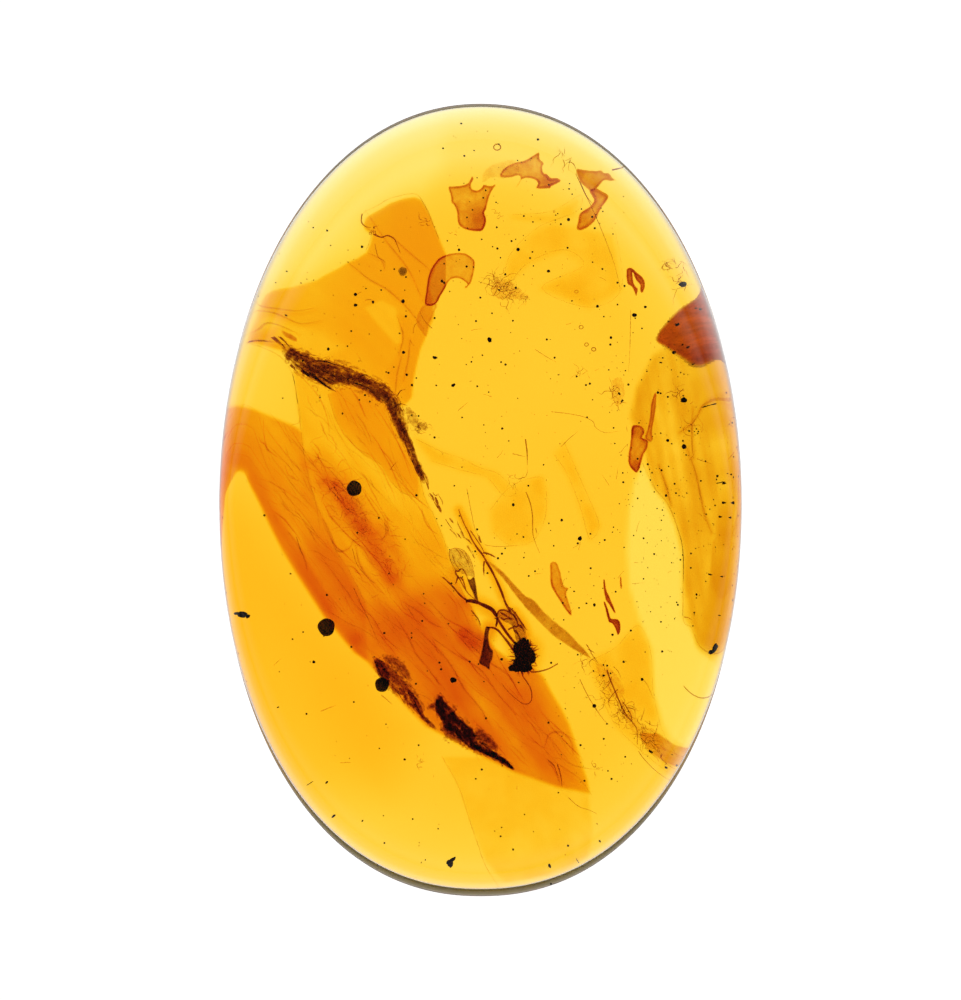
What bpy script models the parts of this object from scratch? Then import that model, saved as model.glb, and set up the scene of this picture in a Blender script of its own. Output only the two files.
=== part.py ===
"""Insect in amber: a polished oval of clear amber with a gnat and plant scraps sealed in it.

Metres, +Z up. The stone lies on its flat face: X across, Y along, and the origin is the
middle of the face it rests on. Sizes below are in millimetres and are turned into metres
where the meshes are made. The clear stone is parted in two on one level, so that every
sealed piece sits in a pocket that opens on the parting.
"""
import math

import bmesh
import bpy
from mathutils import Matrix, Vector

MM = 0.001

# The stone
LENGTH = 25.0
WIDTH = 16.4
HEIGHT = 5.0
SQUARENESS_HEAD = 2.08      # superellipse power of the outline's +Y end
SQUARENESS_FOOT = 2.18      # and of its -Y end
GIRDLE_SIDE = 4.0           # top of the upright wall at the sides, the +Y end and the -Y end
GIRDLE_HEAD = 1.4
GIRDLE_FOOT = 3.0
LEAN_SIDE = 0.009           # share of the radius by which the wall leans in there
LEAN_HEAD = 0.0125
LEAN_FOOT = 0.029
LEAN_GATHER = 2.5          # how far the ends' wider lean keeps to the ends
BASE_ROUND = 0.15           # height of the rounded bottom edge
BASE_INSET = 0.018          # share of the radius that it takes
FULLNESS_SIDE = 20.0        # powers of the dome's profile: how flat it stays toward the edge
FULLNESS_HEAD = 5.0
FULLNESS_FOOT = 8.0
ROUNDNESS_SIDE = 2.0        # and how round it turns down there
ROUNDNESS_HEAD = 1.35
ROUNDNESS_FOOT = 1.7
OUTLINE_STEPS = 96
DOME_RINGS = 11
BASE_RINGS = 3
RING_CROWDING = 2.2         # how much the dome's rings draw together toward its edge
REFRACTION = 1.54
SLOPE_STEP = 0.01           # distance over which the dome's slope is taken
STEEPEST = 0.4              # slope past which the bend stays the same, by the stone's edge

# The parting and the pockets
PARTING = 1.6
GAP = 0.3                   # clearance between any two solids
POCKET_REACH = 0.15         # how far a pocket runs past the parting's gap, at least
POCKET_SIDES = 8
POCKET_SLACK = 1.1          # so that the flats between a pocket's corners clear it too
POCKET_DETAIL = 0.04        # points nearer than this are one
POCKET_SMOOTHING = 6        # degrees: flatter joins between a pocket's walls are dropped

# The gnat: head and thorax in one dark lump, the abdomen shrunken, one wing flat on its leg
THORAX_CENTRE = (1.33, -4.66, 2.1)
THORAX_SIZE = (0.46, 0.72, 0.46)
THORAX_TURN = -10
HEAD_CENTRE = (1.35, -5.14, 2.06)
HEAD_SIZE = (0.5, 0.44, 0.4)
ABDOMEN_CENTRE = (0.95, -3.88, 2.15)
ABDOMEN_SIZE = (0.42, 1.44, 0.28)
ABDOMEN_TURN = 31
ANTENNA_RIGHT = ((1.45, -5.2, 2.05), (1.75, -5.36, 2.1), (2.02, -5.3, 2.1), (2.39, -5.12, 2.0))
ANTENNA_LEFT = (
    (1.3, -5.2, 2.05), (1.35, -5.55, 2.1), (1.55, -5.9, 2.15), (1.58, -6.27, 2.15),
    (1.4, -6.39, 2.1), (1.08, -6.18, 2.05), (0.65, -5.72, 2.0),
)
FORE_LEG = (
    (1.2, -4.55, 2.1), (0.84, -4.05, 2.25), (0.4, -3.47, 2.3), (0.02, -3.25, 2.28),
    (-0.42, -3.11, 2.22), (-0.8, -2.78, 2.1), (-1.18, -2.42, 1.95),
)
FORE_FEMUR = ((0.42, -3.49, 2.3), (0.02, -3.25, 2.28), (-0.43, -3.1, 2.22))
MIDDLE_LEG = ((1.2, -4.8, 2.05), (0.84, -4.44, 1.9), (0.59, -4.16, 1.85), (0.2, -4.12, 1.8))
SHORT_LEG = ((0.02, -3.25, 2.28), (-0.12, -3.68, 2.05), (0.04, -4.0, 1.88), (0.17, -4.3, 1.8))
HIND_LEG = (
    (0.95, -3.7, 2.15), (0.69, -2.99, 2.05), (0.31, -2.15, 1.95), (-0.05, -1.53, 1.9),
    (-0.39, -1.0, 1.95), (-0.56, -0.65, 2.0), (-0.67, -0.32, 2.05),
)
LEG_RADIUS = 0.055
FEMUR_RADIUS = 0.075
ANTENNA_RADIUS = 0.045
LIMB_SIDES = 6
WING_ROOT = ((-0.02, -3.2, 2.27), (-0.1, -2.92, 2.17), (-0.28, -2.4, 2.02))
WING = (
    (-0.97, -1.62), (-0.72, -1.47), (-0.5, -1.55), (-0.33, -1.8), (-0.2, -2.1), (-0.18, -2.5),
    (-0.36, -2.52), (-0.62, -2.3), (-0.86, -2.01),
)
WING_LEVEL = 2.0
FOLDED_WING = (
    (0.17, -3.95), (0.3, -4.38), (0.4, -4.7), (0.3, -5.0), (0.27, -5.25), (0.05, -5.14),
    (0.02, -4.77), (0.08, -4.4),
)
FOLDED_WING_LEVEL = 1.8
SKIN = 0.1                  # thickness of the wings and of thin films

# Plant and resin scraps, each lying nearly level
TWIG_LINE = (
    (-6.3, 4.78, 1.8), (-5.86, 4.5, 1.85), (-5.22, 4.16, 1.95), (-4.59, 4.0, 2.0),
    (-3.96, 3.81, 2.05), (-3.3, 3.51, 2.1), (-2.87, 3.2, 2.1), (-2.64, 2.83, 2.1),
    (-2.5, 2.4, 2.1), (-2.25, 1.8, 2.1), (-2.05, 1.2, 2.05), (-1.75, 0.55, 2.0),
)
TWIG_WIDTHS = (0.3, 0.44, 0.62, 0.56, 0.4, 0.38, 0.36, 0.3, 0.24, 0.2, 0.16, 0.1)
TWIG_FLATNESS = 0.6
TWIG_SIDES = 8
TWIG_STRETCH = 3            # points of the twig's line that share one straight pocket
SPLINTER_LINE = ((-5.3, 4.0, 1.95), (-5.0, 3.65, 1.9), (-4.53, 3.4, 1.88))
SPLINTER_WIDTHS = (0.2, 0.18, 0.08)

BUD_LINE = (
    (-1.3, -6.2, 1.9), (-1.22, -6.5, 1.92), (-0.98, -6.82, 1.95), (-0.68, -7.12, 1.98),
    (-0.38, -7.42, 2.0), (-0.05, -7.68, 1.98), (0.35, -7.92, 1.95), (0.72, -8.14, 1.92),
    (1.02, -8.39, 1.9),
)
BUD_WIDTHS = (0.14, 0.36, 0.5, 0.48, 0.44, 0.3, 0.24, 0.16, 0.06)
BUD_FLATNESS = 0.7
LEAF_LINE = (
    (-3.3, -4.92, 1.95), (-3.05, -5.24, 2.0), (-2.72, -5.62, 2.05), (-2.35, -5.98, 2.05),
    (-2.02, -6.4, 2.0), (-1.72, -6.89, 1.95),
)
LEAF_WIDTHS = (0.1, 0.4, 0.44, 0.38, 0.28, 0.06)
LEAF_FLATNESS = 0.3
SCRAP_SIDES = 8

BARK = (
    (6.72, 6.9), (6.45, 6.6), (6.12, 6.08), (5.88, 5.65), (5.5, 5.02), (5.8, 4.8), (6.25, 4.52),
    (6.63, 4.2), (7.0, 3.97), (7.35, 3.95), (7.72, 3.6), (7.6, 4.3), (7.34, 5.3), (7.05, 6.2),
)
BARK_LEVEL = 1.5
BARK_THICKNESS = 0.3

# Thin curled films of older resin: level of the middle, then the outline
FILMS = {
    "film_shield": (2.2, (
        (-1.02, 9.81), (-0.3, 10.0), (-0.14, 9.69), (0.46, 9.86), (0.2, 9.2), (0.12, 8.7),
        (-0.04, 8.38), (-0.42, 8.39), (-0.72, 8.6), (-0.85, 9.1),
    )),
    "film_crest": (2.0, (
        (0.12, 9.94), (0.1, 10.26), (0.84, 10.6), (1.79, 10.95), (2.1, 10.4), (2.5, 10.1),
        (2.2, 9.75), (1.76, 9.73), (1.63, 10.07), (1.19, 10.13),
    )),
    "film_corner": (1.9, (
        (2.99, 10.35), (3.66, 10.26), (4.23, 10.0), (3.85, 9.91), (4.0, 9.42), (3.66, 8.93),
        (3.31, 8.45), (2.96, 8.5), (3.05, 9.0), (3.45, 9.3), (3.28, 9.78),
    )),
    "film_hook": (2.1, (
        (-1.75, 6.15), (-1.56, 7.27), (-1.27, 7.6), (-0.83, 7.71), (-0.2, 7.51), (-0.23, 7.03),
        (-0.44, 6.62), (-0.63, 6.85), (-0.83, 6.91), (-1.05, 6.75), (-1.35, 6.15), (-1.59, 6.02),
    )),
    "film_leafy": (2.2, (
        (4.72, 2.3), (5.14, 2.32), (5.06, 1.85), (5.19, 1.6), (4.95, 1.03), (4.8, 0.84),
        (4.6, 1.25), (4.66, 1.8),
    )),
    "film_drop": (1.9, (
        (2.17, -1.98), (2.36, -1.94), (2.52, -2.2), (2.71, -3.02), (2.84, -3.62), (2.46, -3.14),
        (2.23, -2.61),
    )),
}

# Round dark pellets: middle, then radius
PELLETS = {
    "pellet_middle": ((-3.94, 0.36, 2.1), 0.24),
    "pellet_side": ((-4.81, -3.97, 1.9), 0.27),
    "pellet_leaf": ((-3.08, -5.77, 1.4), 0.23),
    "pellet_top": ((-2.43, 7.14, 1.9), 0.14),
}

# Colours: red, green, blue as linear values, then roughness
AMBER_COLOUR = (0.95, 0.58, 0.06)
INSECT_COLOUR = (0.045, 0.018, 0.008)
TWIG_COLOUR = (0.12, 0.05, 0.015)
BUD_COLOUR = (0.05, 0.02, 0.008)
LEAF_COLOUR = (0.08, 0.03, 0.01)
BARK_COLOUR = (0.25, 0.07, 0.015)
FILM_COLOUR = (0.62, 0.2, 0.02)
PELLET_COLOUR = (0.02, 0.01, 0.006)


def clear_scene():
    for thing in list(bpy.data.objects):
        bpy.data.objects.remove(thing, do_unlink=True)


def make_material(name, colour, roughness, transmission=0.0):
    material = bpy.data.materials.new(name)
    material.use_nodes = True
    shader = material.node_tree.nodes["Principled BSDF"]
    shader.inputs["Base Color"].default_value = (*colour, 1.0)
    shader.inputs["Roughness"].default_value = roughness
    shader.inputs["Metallic"].default_value = 0.0
    shader.inputs["Transmission Weight"].default_value = transmission
    return material


def add_object(name, mesh_builder, material=None):
    """Turn a bmesh in millimetres into a named object in metres, with its faces outward."""
    bmesh.ops.recalc_face_normals(mesh_builder, faces=mesh_builder.faces)
    bmesh.ops.scale(mesh_builder, vec=(MM, MM, MM), verts=mesh_builder.verts)
    mesh = bpy.data.meshes.new(name)
    mesh_builder.to_mesh(mesh)
    mesh_builder.free()
    thing = bpy.data.objects.new(name, mesh)
    bpy.context.scene.collection.objects.link(thing)
    if material:
        mesh.materials.append(material)
    return thing


def hide_cutter(thing):
    thing.hide_render = True
    thing.display_type = "WIRE"


def add_boolean(thing, other, operation, solver="EXACT"):
    modifier = thing.modifiers.new(f"{operation.lower()}_{other.name}", "BOOLEAN")
    modifier.operation = operation
    modifier.object = other
    modifier.solver = solver


# ---- the stone ----

def outline_point(turn):
    """Point of the stone's outline, a superellipse, at a turn in radians from +X."""
    power = SQUARENESS_HEAD if math.sin(turn) > 0 else SQUARENESS_FOOT
    half_x, half_y = WIDTH / 2, LENGTH / 2
    across = abs(math.cos(turn) / half_x) ** power
    along = abs(math.sin(turn) / half_y) ** power
    reach = (across + along) ** (-1 / power)
    return reach * math.cos(turn), reach * math.sin(turn)


def along_outline(turn, side, head, foot):
    """A value that runs from the sides' to the ends' with the turn."""
    end = head if math.sin(turn) > 0 else foot
    return side + (end - side) * abs(math.sin(turn))


def girdle_height(turn):
    return along_outline(turn, GIRDLE_SIDE, GIRDLE_HEAD, GIRDLE_FOOT)


def dome_edge(turn):
    """Share of the radius at which the dome meets the wall."""
    sine = math.sin(turn)
    end = LEAN_HEAD if sine > 0 else LEAN_FOOT
    return 1 - LEAN_SIDE - (end - LEAN_SIDE) * abs(sine) ** LEAN_GATHER


def dome_height(share, turn):
    """Height of the domed face at a share of the radius."""
    fullness = along_outline(turn, FULLNESS_SIDE, FULLNESS_HEAD, FULLNESS_FOOT)
    roundness = along_outline(turn, ROUNDNESS_SIDE, ROUNDNESS_HEAD, ROUNDNESS_FOOT)
    edge = girdle_height(turn)
    fall = min(share / dome_edge(turn), 1) ** fullness
    return edge + (HEIGHT - edge) * (1 - fall) ** (1 / roundness)


def height_over(x, y):
    """Height of the domed face over a point."""
    turn = math.atan2(y, x)
    reach = math.hypot(*outline_point(turn))
    return dome_height(math.hypot(x, y) / reach, turn)


def sunk(x, y, level):
    """Where a thing at a level lies, when x and y are where it shows through the dome.

    The sloping face bends the upright line of sight toward the stone's middle.
    """
    slope_x = (height_over(x + SLOPE_STEP, y) - height_over(x - SLOPE_STEP, y)) / (2 * SLOPE_STEP)
    slope_y = (height_over(x, y + SLOPE_STEP) - height_over(x, y - SLOPE_STEP)) / (2 * SLOPE_STEP)
    slope = math.hypot(slope_x, slope_y)
    if slope < 1e-6:
        return x, y
    tilt = math.atan(min(slope, STEEPEST))
    bend = tilt - math.asin(math.sin(tilt) / REFRACTION)
    shift = max(height_over(x, y) - level, 0) * math.tan(bend)
    return x + shift * slope_x / slope, y + shift * slope_y / slope


def sunk_line(line):
    return [(*sunk(x, y, z), z) for x, y, z in line]


def stone_rings():
    """Rules for the share of the radius and the height of each ring, from the top down."""
    rings = []
    for step in range(1, DOME_RINGS + 1):
        share = 1 - (1 - step / DOME_RINGS) ** RING_CROWDING
        rings.append((lambda turn, share=share: share * dome_edge(turn),
                      lambda turn, share=share: dome_height(share * dome_edge(turn), turn)))
    for step in range(BASE_RINGS + 1):
        angle = math.pi / 2 * step / BASE_RINGS
        share = 1 - BASE_INSET * (1 - math.cos(angle))
        rings.append((lambda turn, share=share: share,
                      lambda turn, angle=angle: BASE_ROUND * (1 - math.sin(angle))))
    return rings


def make_stone(name):
    builder = bmesh.new()
    turns = [2 * math.pi * step / OUTLINE_STEPS for step in range(OUTLINE_STEPS)]
    rows = []
    for share, height in stone_rings():
        row = []
        for turn in turns:
            x, y = outline_point(turn)
            row.append(builder.verts.new((share(turn) * x, share(turn) * y, height(turn))))
        rows.append(row)
    top = builder.verts.new((0, 0, HEIGHT))
    for step in range(OUTLINE_STEPS):
        following = (step + 1) % OUTLINE_STEPS
        builder.faces.new((top, rows[0][step], rows[0][following]))
        for upper, lower in zip(rows, rows[1:]):
            builder.faces.new((upper[step], lower[step], lower[following], upper[following]))
    builder.faces.new(rows[-1])
    return add_object(name, builder)


def make_slab(name, bottom, top):
    """A flat block larger than the stone, used to part it."""
    builder = bmesh.new()
    bmesh.ops.create_cube(builder, size=1)
    bmesh.ops.scale(builder, vec=(LENGTH * 2, LENGTH * 2, top - bottom), verts=builder.verts)
    bmesh.ops.translate(builder, vec=(0, 0, (top + bottom) / 2), verts=builder.verts)
    slab = add_object(name, builder)
    hide_cutter(slab)
    return slab


# ---- the sealed pieces ----

def add_prism(builder, outline, level, thickness):
    """A level plate centred on its level, whose outline is how it shows through the dome."""
    bottom = level - thickness / 2
    face = builder.faces.new([
        builder.verts.new((*sunk(x, y, level), bottom)) for x, y in outline])
    raised = bmesh.ops.extrude_face_region(builder, geom=[face])["geom"]
    points = [item for item in raised if isinstance(item, bmesh.types.BMVert)]
    bmesh.ops.translate(builder, vec=(0, 0, thickness), verts=points)


def add_tube(builder, line, half_widths, flatness, sides):
    """A closed tube along a line, as wide as its list says and flattened in height."""
    line = sunk_line(line)
    rings = []
    for index, point in enumerate(line):
        before = Vector(line[max(index - 1, 0)])
        after = Vector(line[min(index + 1, len(line) - 1)])
        ahead = (after - before).normalized()
        aside = ahead.cross(Vector((0, 0, 1))).normalized()
        above = aside.cross(ahead)
        ring = []
        for side in range(sides):
            angle = 2 * math.pi * side / sides
            reach = aside * math.cos(angle) + above * math.sin(angle) * flatness
            ring.append(builder.verts.new(Vector(point) + reach * half_widths[index]))
        rings.append(ring)
    for ring, following_ring in zip(rings, rings[1:]):
        for side in range(sides):
            across = (side + 1) % sides
            builder.faces.new((ring[side], ring[across], following_ring[across], following_ring[side]))
    builder.faces.new(rings[0])
    builder.faces.new(rings[-1])


def add_ball(builder, centre, size, turn, subdivisions):
    """A stretched ball, turned about its own upright axis by degrees."""
    ball = bmesh.ops.create_icosphere(builder, subdivisions=subdivisions, radius=0.5)["verts"]
    bmesh.ops.scale(builder, vec=size, verts=ball)
    turning = Matrix.Rotation(math.radians(turn), 3, "Z")
    bmesh.ops.rotate(builder, cent=(0, 0, 0), matrix=turning, verts=ball)
    bmesh.ops.translate(builder, vec=(*sunk(*centre), centre[2]), verts=ball)


def limb_widths(line, radius):
    """Half-widths that hold one radius along a limb and narrow at its tip."""
    return [radius] * (len(line) - 1) + [radius * 0.6]


def half(widths):
    return [width / 2 for width in widths]


def make_tube(name, line, half_widths, flatness, sides, material=None):
    builder = bmesh.new()
    add_tube(builder, line, half_widths, flatness, sides)
    return add_object(name, builder, material)


def make_plate(name, outline, level, thickness, material=None):
    builder = bmesh.new()
    add_prism(builder, outline, level, thickness)
    return add_object(name, builder, material)


def make_ball(name, centre, size, turn=0, material=None, subdivisions=2):
    builder = bmesh.new()
    add_ball(builder, centre, size, turn, subdivisions)
    return add_object(name, builder, material)


def make_limb(name, line, radius):
    return make_tube(name, line, limb_widths(line, radius), 1, LIMB_SIDES)


def fuse(body, pieces):
    """Join pieces that overlap a body into it, as one closed solid."""
    for piece in pieces:
        hide_cutter(piece)
        add_boolean(body, piece, "UNION")


def make_insect():
    """The gnat as one solid, and the groups of its pieces that share a pocket."""
    material = make_material("insect", INSECT_COLOUR, 0.5)
    body = make_ball("insect", THORAX_CENTRE, THORAX_SIZE, THORAX_TURN, material)
    trunk = [
        make_ball("insect_head", HEAD_CENTRE, HEAD_SIZE),
        make_ball("insect_abdomen", ABDOMEN_CENTRE, ABDOMEN_SIZE, ABDOMEN_TURN),
    ]
    right_antenna = [make_limb("insect_antenna_right", ANTENNA_RIGHT, ANTENNA_RADIUS)]
    left_antenna = [make_limb("insect_antenna_left", ANTENNA_LEFT, ANTENNA_RADIUS)]
    fore_leg = [
        make_limb("insect_fore_leg", FORE_LEG, LEG_RADIUS),
        make_limb("insect_fore_femur", FORE_FEMUR, FEMUR_RADIUS),
    ]
    wing = [
        make_limb("insect_wing_root", WING_ROOT, LEG_RADIUS),
        make_plate("insect_wing", WING, WING_LEVEL, SKIN),
    ]
    folded_wing = [
        make_limb("insect_middle_leg", MIDDLE_LEG, LEG_RADIUS),
        make_limb("insect_short_leg", SHORT_LEG, LEG_RADIUS),
        make_plate("insect_folded_wing", FOLDED_WING, FOLDED_WING_LEVEL, SKIN),
    ]
    hind_leg = [make_limb("insect_hind_leg", HIND_LEG, LEG_RADIUS)]
    groups = [trunk, right_antenna, left_antenna, fore_leg, wing, folded_wing, hind_leg]
    for group in groups:
        fuse(body, group)
    trunk.append(body)
    return [[point for piece in group for point in points_of(piece)] for group in groups]


def make_twig():
    """The twig with its splinter, and the groups of points that share a pocket."""
    material = make_material("twig", TWIG_COLOUR, 0.7)
    twig = make_tube("twig", TWIG_LINE, half(TWIG_WIDTHS), TWIG_FLATNESS, TWIG_SIDES, material)
    splinter = make_tube("twig_splinter", SPLINTER_LINE, half(SPLINTER_WIDTHS), TWIG_FLATNESS,
                         LIMB_SIDES)
    fuse(twig, [splinter])
    rings = points_of(twig)
    groups = [points_of(splinter)]
    for start in range(0, len(TWIG_LINE) - 1, TWIG_STRETCH):
        groups.append(rings[start * TWIG_SIDES:(start + TWIG_STRETCH + 1) * TWIG_SIDES])
    return groups


def make_scraps():
    """Every sealed piece but the insect and the twig, each with a pocket of its own."""
    bud_material = make_material("bud_scale", BUD_COLOUR, 0.6)
    leaf_material = make_material("leaf_scrap", LEAF_COLOUR, 0.6)
    bark_material = make_material("bark_flake", BARK_COLOUR, 0.6)
    film_material = make_material("resin_film", FILM_COLOUR, 0.4)
    pellet_material = make_material("pellet", PELLET_COLOUR, 0.5)
    scraps = [
        make_tube("bud_scale", BUD_LINE, half(BUD_WIDTHS), BUD_FLATNESS, SCRAP_SIDES,
                  bud_material),
        make_tube("leaf_scrap", LEAF_LINE, half(LEAF_WIDTHS), LEAF_FLATNESS, SCRAP_SIDES,
                  leaf_material),
        make_plate("bark_flake", BARK, BARK_LEVEL, BARK_THICKNESS, bark_material),
    ]
    for name, (level, outline) in FILMS.items():
        scraps.append(make_plate(name, outline, level, SKIN, film_material))
    for name, (centre, radius) in PELLETS.items():
        scraps.append(make_ball(name, centre, [2 * radius] * 3, material=pellet_material))
    return [points_of(scrap) for scrap in scraps]


# ---- the pockets ----

def points_of(thing):
    """A sealed piece's own points, in millimetres."""
    return [vertex.co / MM for vertex in thing.data.vertices]


def make_pocket(name, points):
    """A convex cutter that clears the points all round and opens on the parting."""
    opening = GAP / 2 + POCKET_REACH
    floor = min(min(point.z for point in points) - GAP, PARTING - opening)
    roof = max(max(point.z for point in points) + GAP, PARTING + opening)
    builder = bmesh.new()
    for point in points:
        for side in range(POCKET_SIDES):
            angle = 2 * math.pi * side / POCKET_SIDES
            reach = Vector((math.cos(angle), math.sin(angle), 0)) * GAP * POCKET_SLACK
            for height in (floor, roof):
                builder.verts.new((point.x + reach.x, point.y + reach.y, height))
    bmesh.ops.remove_doubles(builder, verts=builder.verts, dist=POCKET_DETAIL)
    hull = bmesh.ops.convex_hull(builder, input=builder.verts)
    inner = {item for key in ("geom_interior", "geom_unused") for item in hull[key]}
    inner_points = [item for item in inner if isinstance(item, bmesh.types.BMVert)]
    bmesh.ops.delete(builder, geom=inner_points, context="VERTS")
    bmesh.ops.dissolve_limit(builder, angle_limit=math.radians(POCKET_SMOOTHING),
                             verts=builder.verts, edges=builder.edges)
    pocket = add_object(name, builder)
    hide_cutter(pocket)
    return pocket


def make_amber(pockets):
    """The two halves of the stone, cut clear of the parting and of every sealed piece."""
    material = make_material("amber", AMBER_COLOUR, 0.02, transmission=1.0)
    above = make_slab("above_parting", PARTING - GAP / 2, HEIGHT * 2)
    below = make_slab("below_parting", -HEIGHT, PARTING + GAP / 2)
    for name, slab in (("amber_lower", above), ("amber_upper", below)):
        half_stone = make_stone(name)
        half_stone.data.materials.append(material)
        add_boolean(half_stone, slab, "DIFFERENCE")
        for pocket in pockets:
            # many pockets share a level floor, which the exact solver leaves open
            add_boolean(half_stone, pocket, "DIFFERENCE", "MANIFOLD")


def main():
    clear_scene()
    groups = make_insect() + make_twig() + make_scraps()
    pockets = [make_pocket(f"pocket_{index}", points) for index, points in enumerate(groups)]
    make_amber(pockets)


main()
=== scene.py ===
"""Looks for the insect in amber: the clear stone, its tinted flow bands and all that is sealed in it.

Lengths are millimetres and become metres where a mesh is made. X runs across the stone,
Y along it and Z up from the face it lies on.
"""

import math
import random

import bpy
import numpy as np
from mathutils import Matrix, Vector

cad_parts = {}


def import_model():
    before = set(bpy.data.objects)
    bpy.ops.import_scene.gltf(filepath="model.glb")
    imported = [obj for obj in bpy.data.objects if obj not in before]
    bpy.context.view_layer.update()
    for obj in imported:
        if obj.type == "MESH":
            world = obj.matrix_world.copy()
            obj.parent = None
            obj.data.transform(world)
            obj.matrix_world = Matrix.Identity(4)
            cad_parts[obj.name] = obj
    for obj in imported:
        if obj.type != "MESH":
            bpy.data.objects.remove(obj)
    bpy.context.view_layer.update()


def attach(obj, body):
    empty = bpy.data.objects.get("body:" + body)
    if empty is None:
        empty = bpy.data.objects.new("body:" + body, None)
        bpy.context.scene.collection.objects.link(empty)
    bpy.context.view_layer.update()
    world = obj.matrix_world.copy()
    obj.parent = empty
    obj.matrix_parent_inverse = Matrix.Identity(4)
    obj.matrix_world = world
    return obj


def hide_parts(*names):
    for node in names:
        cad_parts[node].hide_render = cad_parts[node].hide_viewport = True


MM = 0.001

# The stone, as in the CAD
LENGTH = 25.0
WIDTH = 16.4
HEIGHT = 5.0
SQUARENESS_HEAD = 2.08
SQUARENESS_FOOT = 2.18
GIRDLE_SIDE = 4.0
GIRDLE_HEAD = 1.4
GIRDLE_FOOT = 3.0
LEAN_SIDE = 0.009
LEAN_HEAD = 0.0125
LEAN_FOOT = 0.029
LEAN_GATHER = 2.5
BASE_ROUND = 0.15
BASE_INSET = 0.018
FULLNESS_SIDE = 20.0
FULLNESS_HEAD = 5.0
FULLNESS_FOOT = 8.0
ROUNDNESS_SIDE = 2.0
ROUNDNESS_HEAD = 1.35
ROUNDNESS_FOOT = 1.7
REFRACTION = 1.54
SLOPE_STEP = 0.01           # half the run over which the dome's slope is measured
STEEPEST = 0.4              # steepest slope by which the line of sight is bent
HEAD_STEEPER = 0.5          # how much steeper it may be in the head, which the CAD doesn't have
HEAD_START = 6.0            # where along the stone that starts, and over how long it comes in
HEAD_RUN = 2.5
HELD_SHARE = 0.985          # share of the radius past which the bend stays the same

# The stone's fine surface
OUTLINE_STEPS = 320
DOME_RINGS = 64
WALL_RINGS = 6
BASE_RINGS = 8
RING_CROWDING = 2.6
POLISH_WAVE = 0.01          # how far the polished face wanders from the ideal dome

# Clear amber: what one metre lets through, as an absorption colour and density
AMBER_COLOUR = (0.996, 0.881, 0.15)
AMBER_DENSITY = 600
AMBER_SPECULAR = 0.2        # set below the real gloss, which put a white haze on the dark pieces
WALL_TRANSMISSION = 0.6
WALL_GLOSSY, WALL_DULL = 0.3, 0.95
BUMP_STRENGTH = 0.6
NOISE_ROUGHNESS = 0.6

# Sealed sheets
SKIN_MARGIN = 0.06          # clear amber kept between a sheet and the stone's faces
THINNEST = 0.004
EDGE_SHARE = 0.98           # share of the stone's radius at which every sheet ends
ROOM_POWER = 12             # how sharply a sheet's thickness is held to the room in the stone

# Light and camera
CAMERA_LENS = 300.0
CAMERA_SENSOR = 36.0
CAMERA_TILT = 0.0           # degrees from straight down, toward the stone's -Y end
FRAME_HEIGHT = 31.32        # millimetres that the frame's height takes in at the stone
AIM = (0.0, 0.0, 2.0)
TABLE_HALF = 1.5            # metres from the table's middle to its edge
TABLE_DROP = 1e-5           # and from the stone's underside down to it
TABLE_TONE = (0.55, 0.55, 0.55, 1)
GLOW = 1.1                  # the table's own light under the stone, and far from it
GLOW_FAR = 0.4
GLOW_RADIUS = 18.0          # where the glow starts to fade, and where it has faded
GLOW_FADE = 40.0
GLANCE_START = 0.42         # how glancing a view of the table is where its glow starts to drop,
GLANCE_END = 0.62           # and where it has dropped: it depends on the view
GLANCE_GLOW = 0.55          # share of the glow that is left there
RING_HEAD = 0.8             # brightness of the band of light round the stone, by its head
RING_FOOT = 0.35            # and by its foot
RING_TOP = 0.25             # sine of the height at which the band is brightest
RING_FADE = 0.62            # sine of the height at which it has faded
HORIZON = 0.05              # share of the brightness left at the horizon
OVERHEAD = 0.12             # and overhead

FAR = 1e9                   # a distance past all others
THREAD_SIDES = 5            # faces round a fine thread, and its thickness as a share of its width
THREAD_FLATNESS = 0.8
BAND_THREADS = 230          # stretched threads in the orange band, and curls in its red cloud
CLOUD_THREADS = 110
FIBRE_REACH = 0.9           # share of the stone's radius within which loose fibres lie,
SPECK_REACH = 0.93          # and loose specks


# ---- numbers and noise ----

def outline_reach(turn):
    """Distance from the middle to the stone's outline, a superellipse, for an array of turns."""
    power = np.where(np.sin(turn) > 0, SQUARENESS_HEAD, SQUARENESS_FOOT)
    across = np.abs(np.cos(turn) / (WIDTH / 2)) ** power
    along = np.abs(np.sin(turn) / (LENGTH / 2)) ** power
    return (across + along) ** (-1 / power)


def along_outline(turn, side, head, foot):
    """A value that runs from the sides' to the ends' with the turn."""
    sine = np.sin(turn)
    return side + (np.where(sine > 0, head, foot) - side) * np.abs(sine)


def girdle_height(turn):
    """Top of the upright wall."""
    return along_outline(turn, GIRDLE_SIDE, GIRDLE_HEAD, GIRDLE_FOOT)


def dome_edge(turn):
    """Share of the radius at which the dome meets the wall."""
    sine = np.sin(turn)
    end = np.where(sine > 0, LEAN_HEAD, LEAN_FOOT)
    return 1 - LEAN_SIDE - (end - LEAN_SIDE) * abs(sine) ** LEAN_GATHER


def dome_height(share, turn):
    """Height of the domed face at a share of the radius."""
    fullness = along_outline(turn, FULLNESS_SIDE, FULLNESS_HEAD, FULLNESS_FOOT)
    roundness = along_outline(turn, ROUNDNESS_SIDE, ROUNDNESS_HEAD, ROUNDNESS_FOOT)
    edge = girdle_height(turn)
    fall = np.minimum(share / dome_edge(turn), 1) ** fullness
    return edge + (HEIGHT - edge) * (1 - fall) ** (1 / roundness)


def stone_share(x, y):
    """0 in the stone's middle and 1 on its outline."""
    return np.hypot(x, y) / outline_reach(np.arctan2(y, x))


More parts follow.
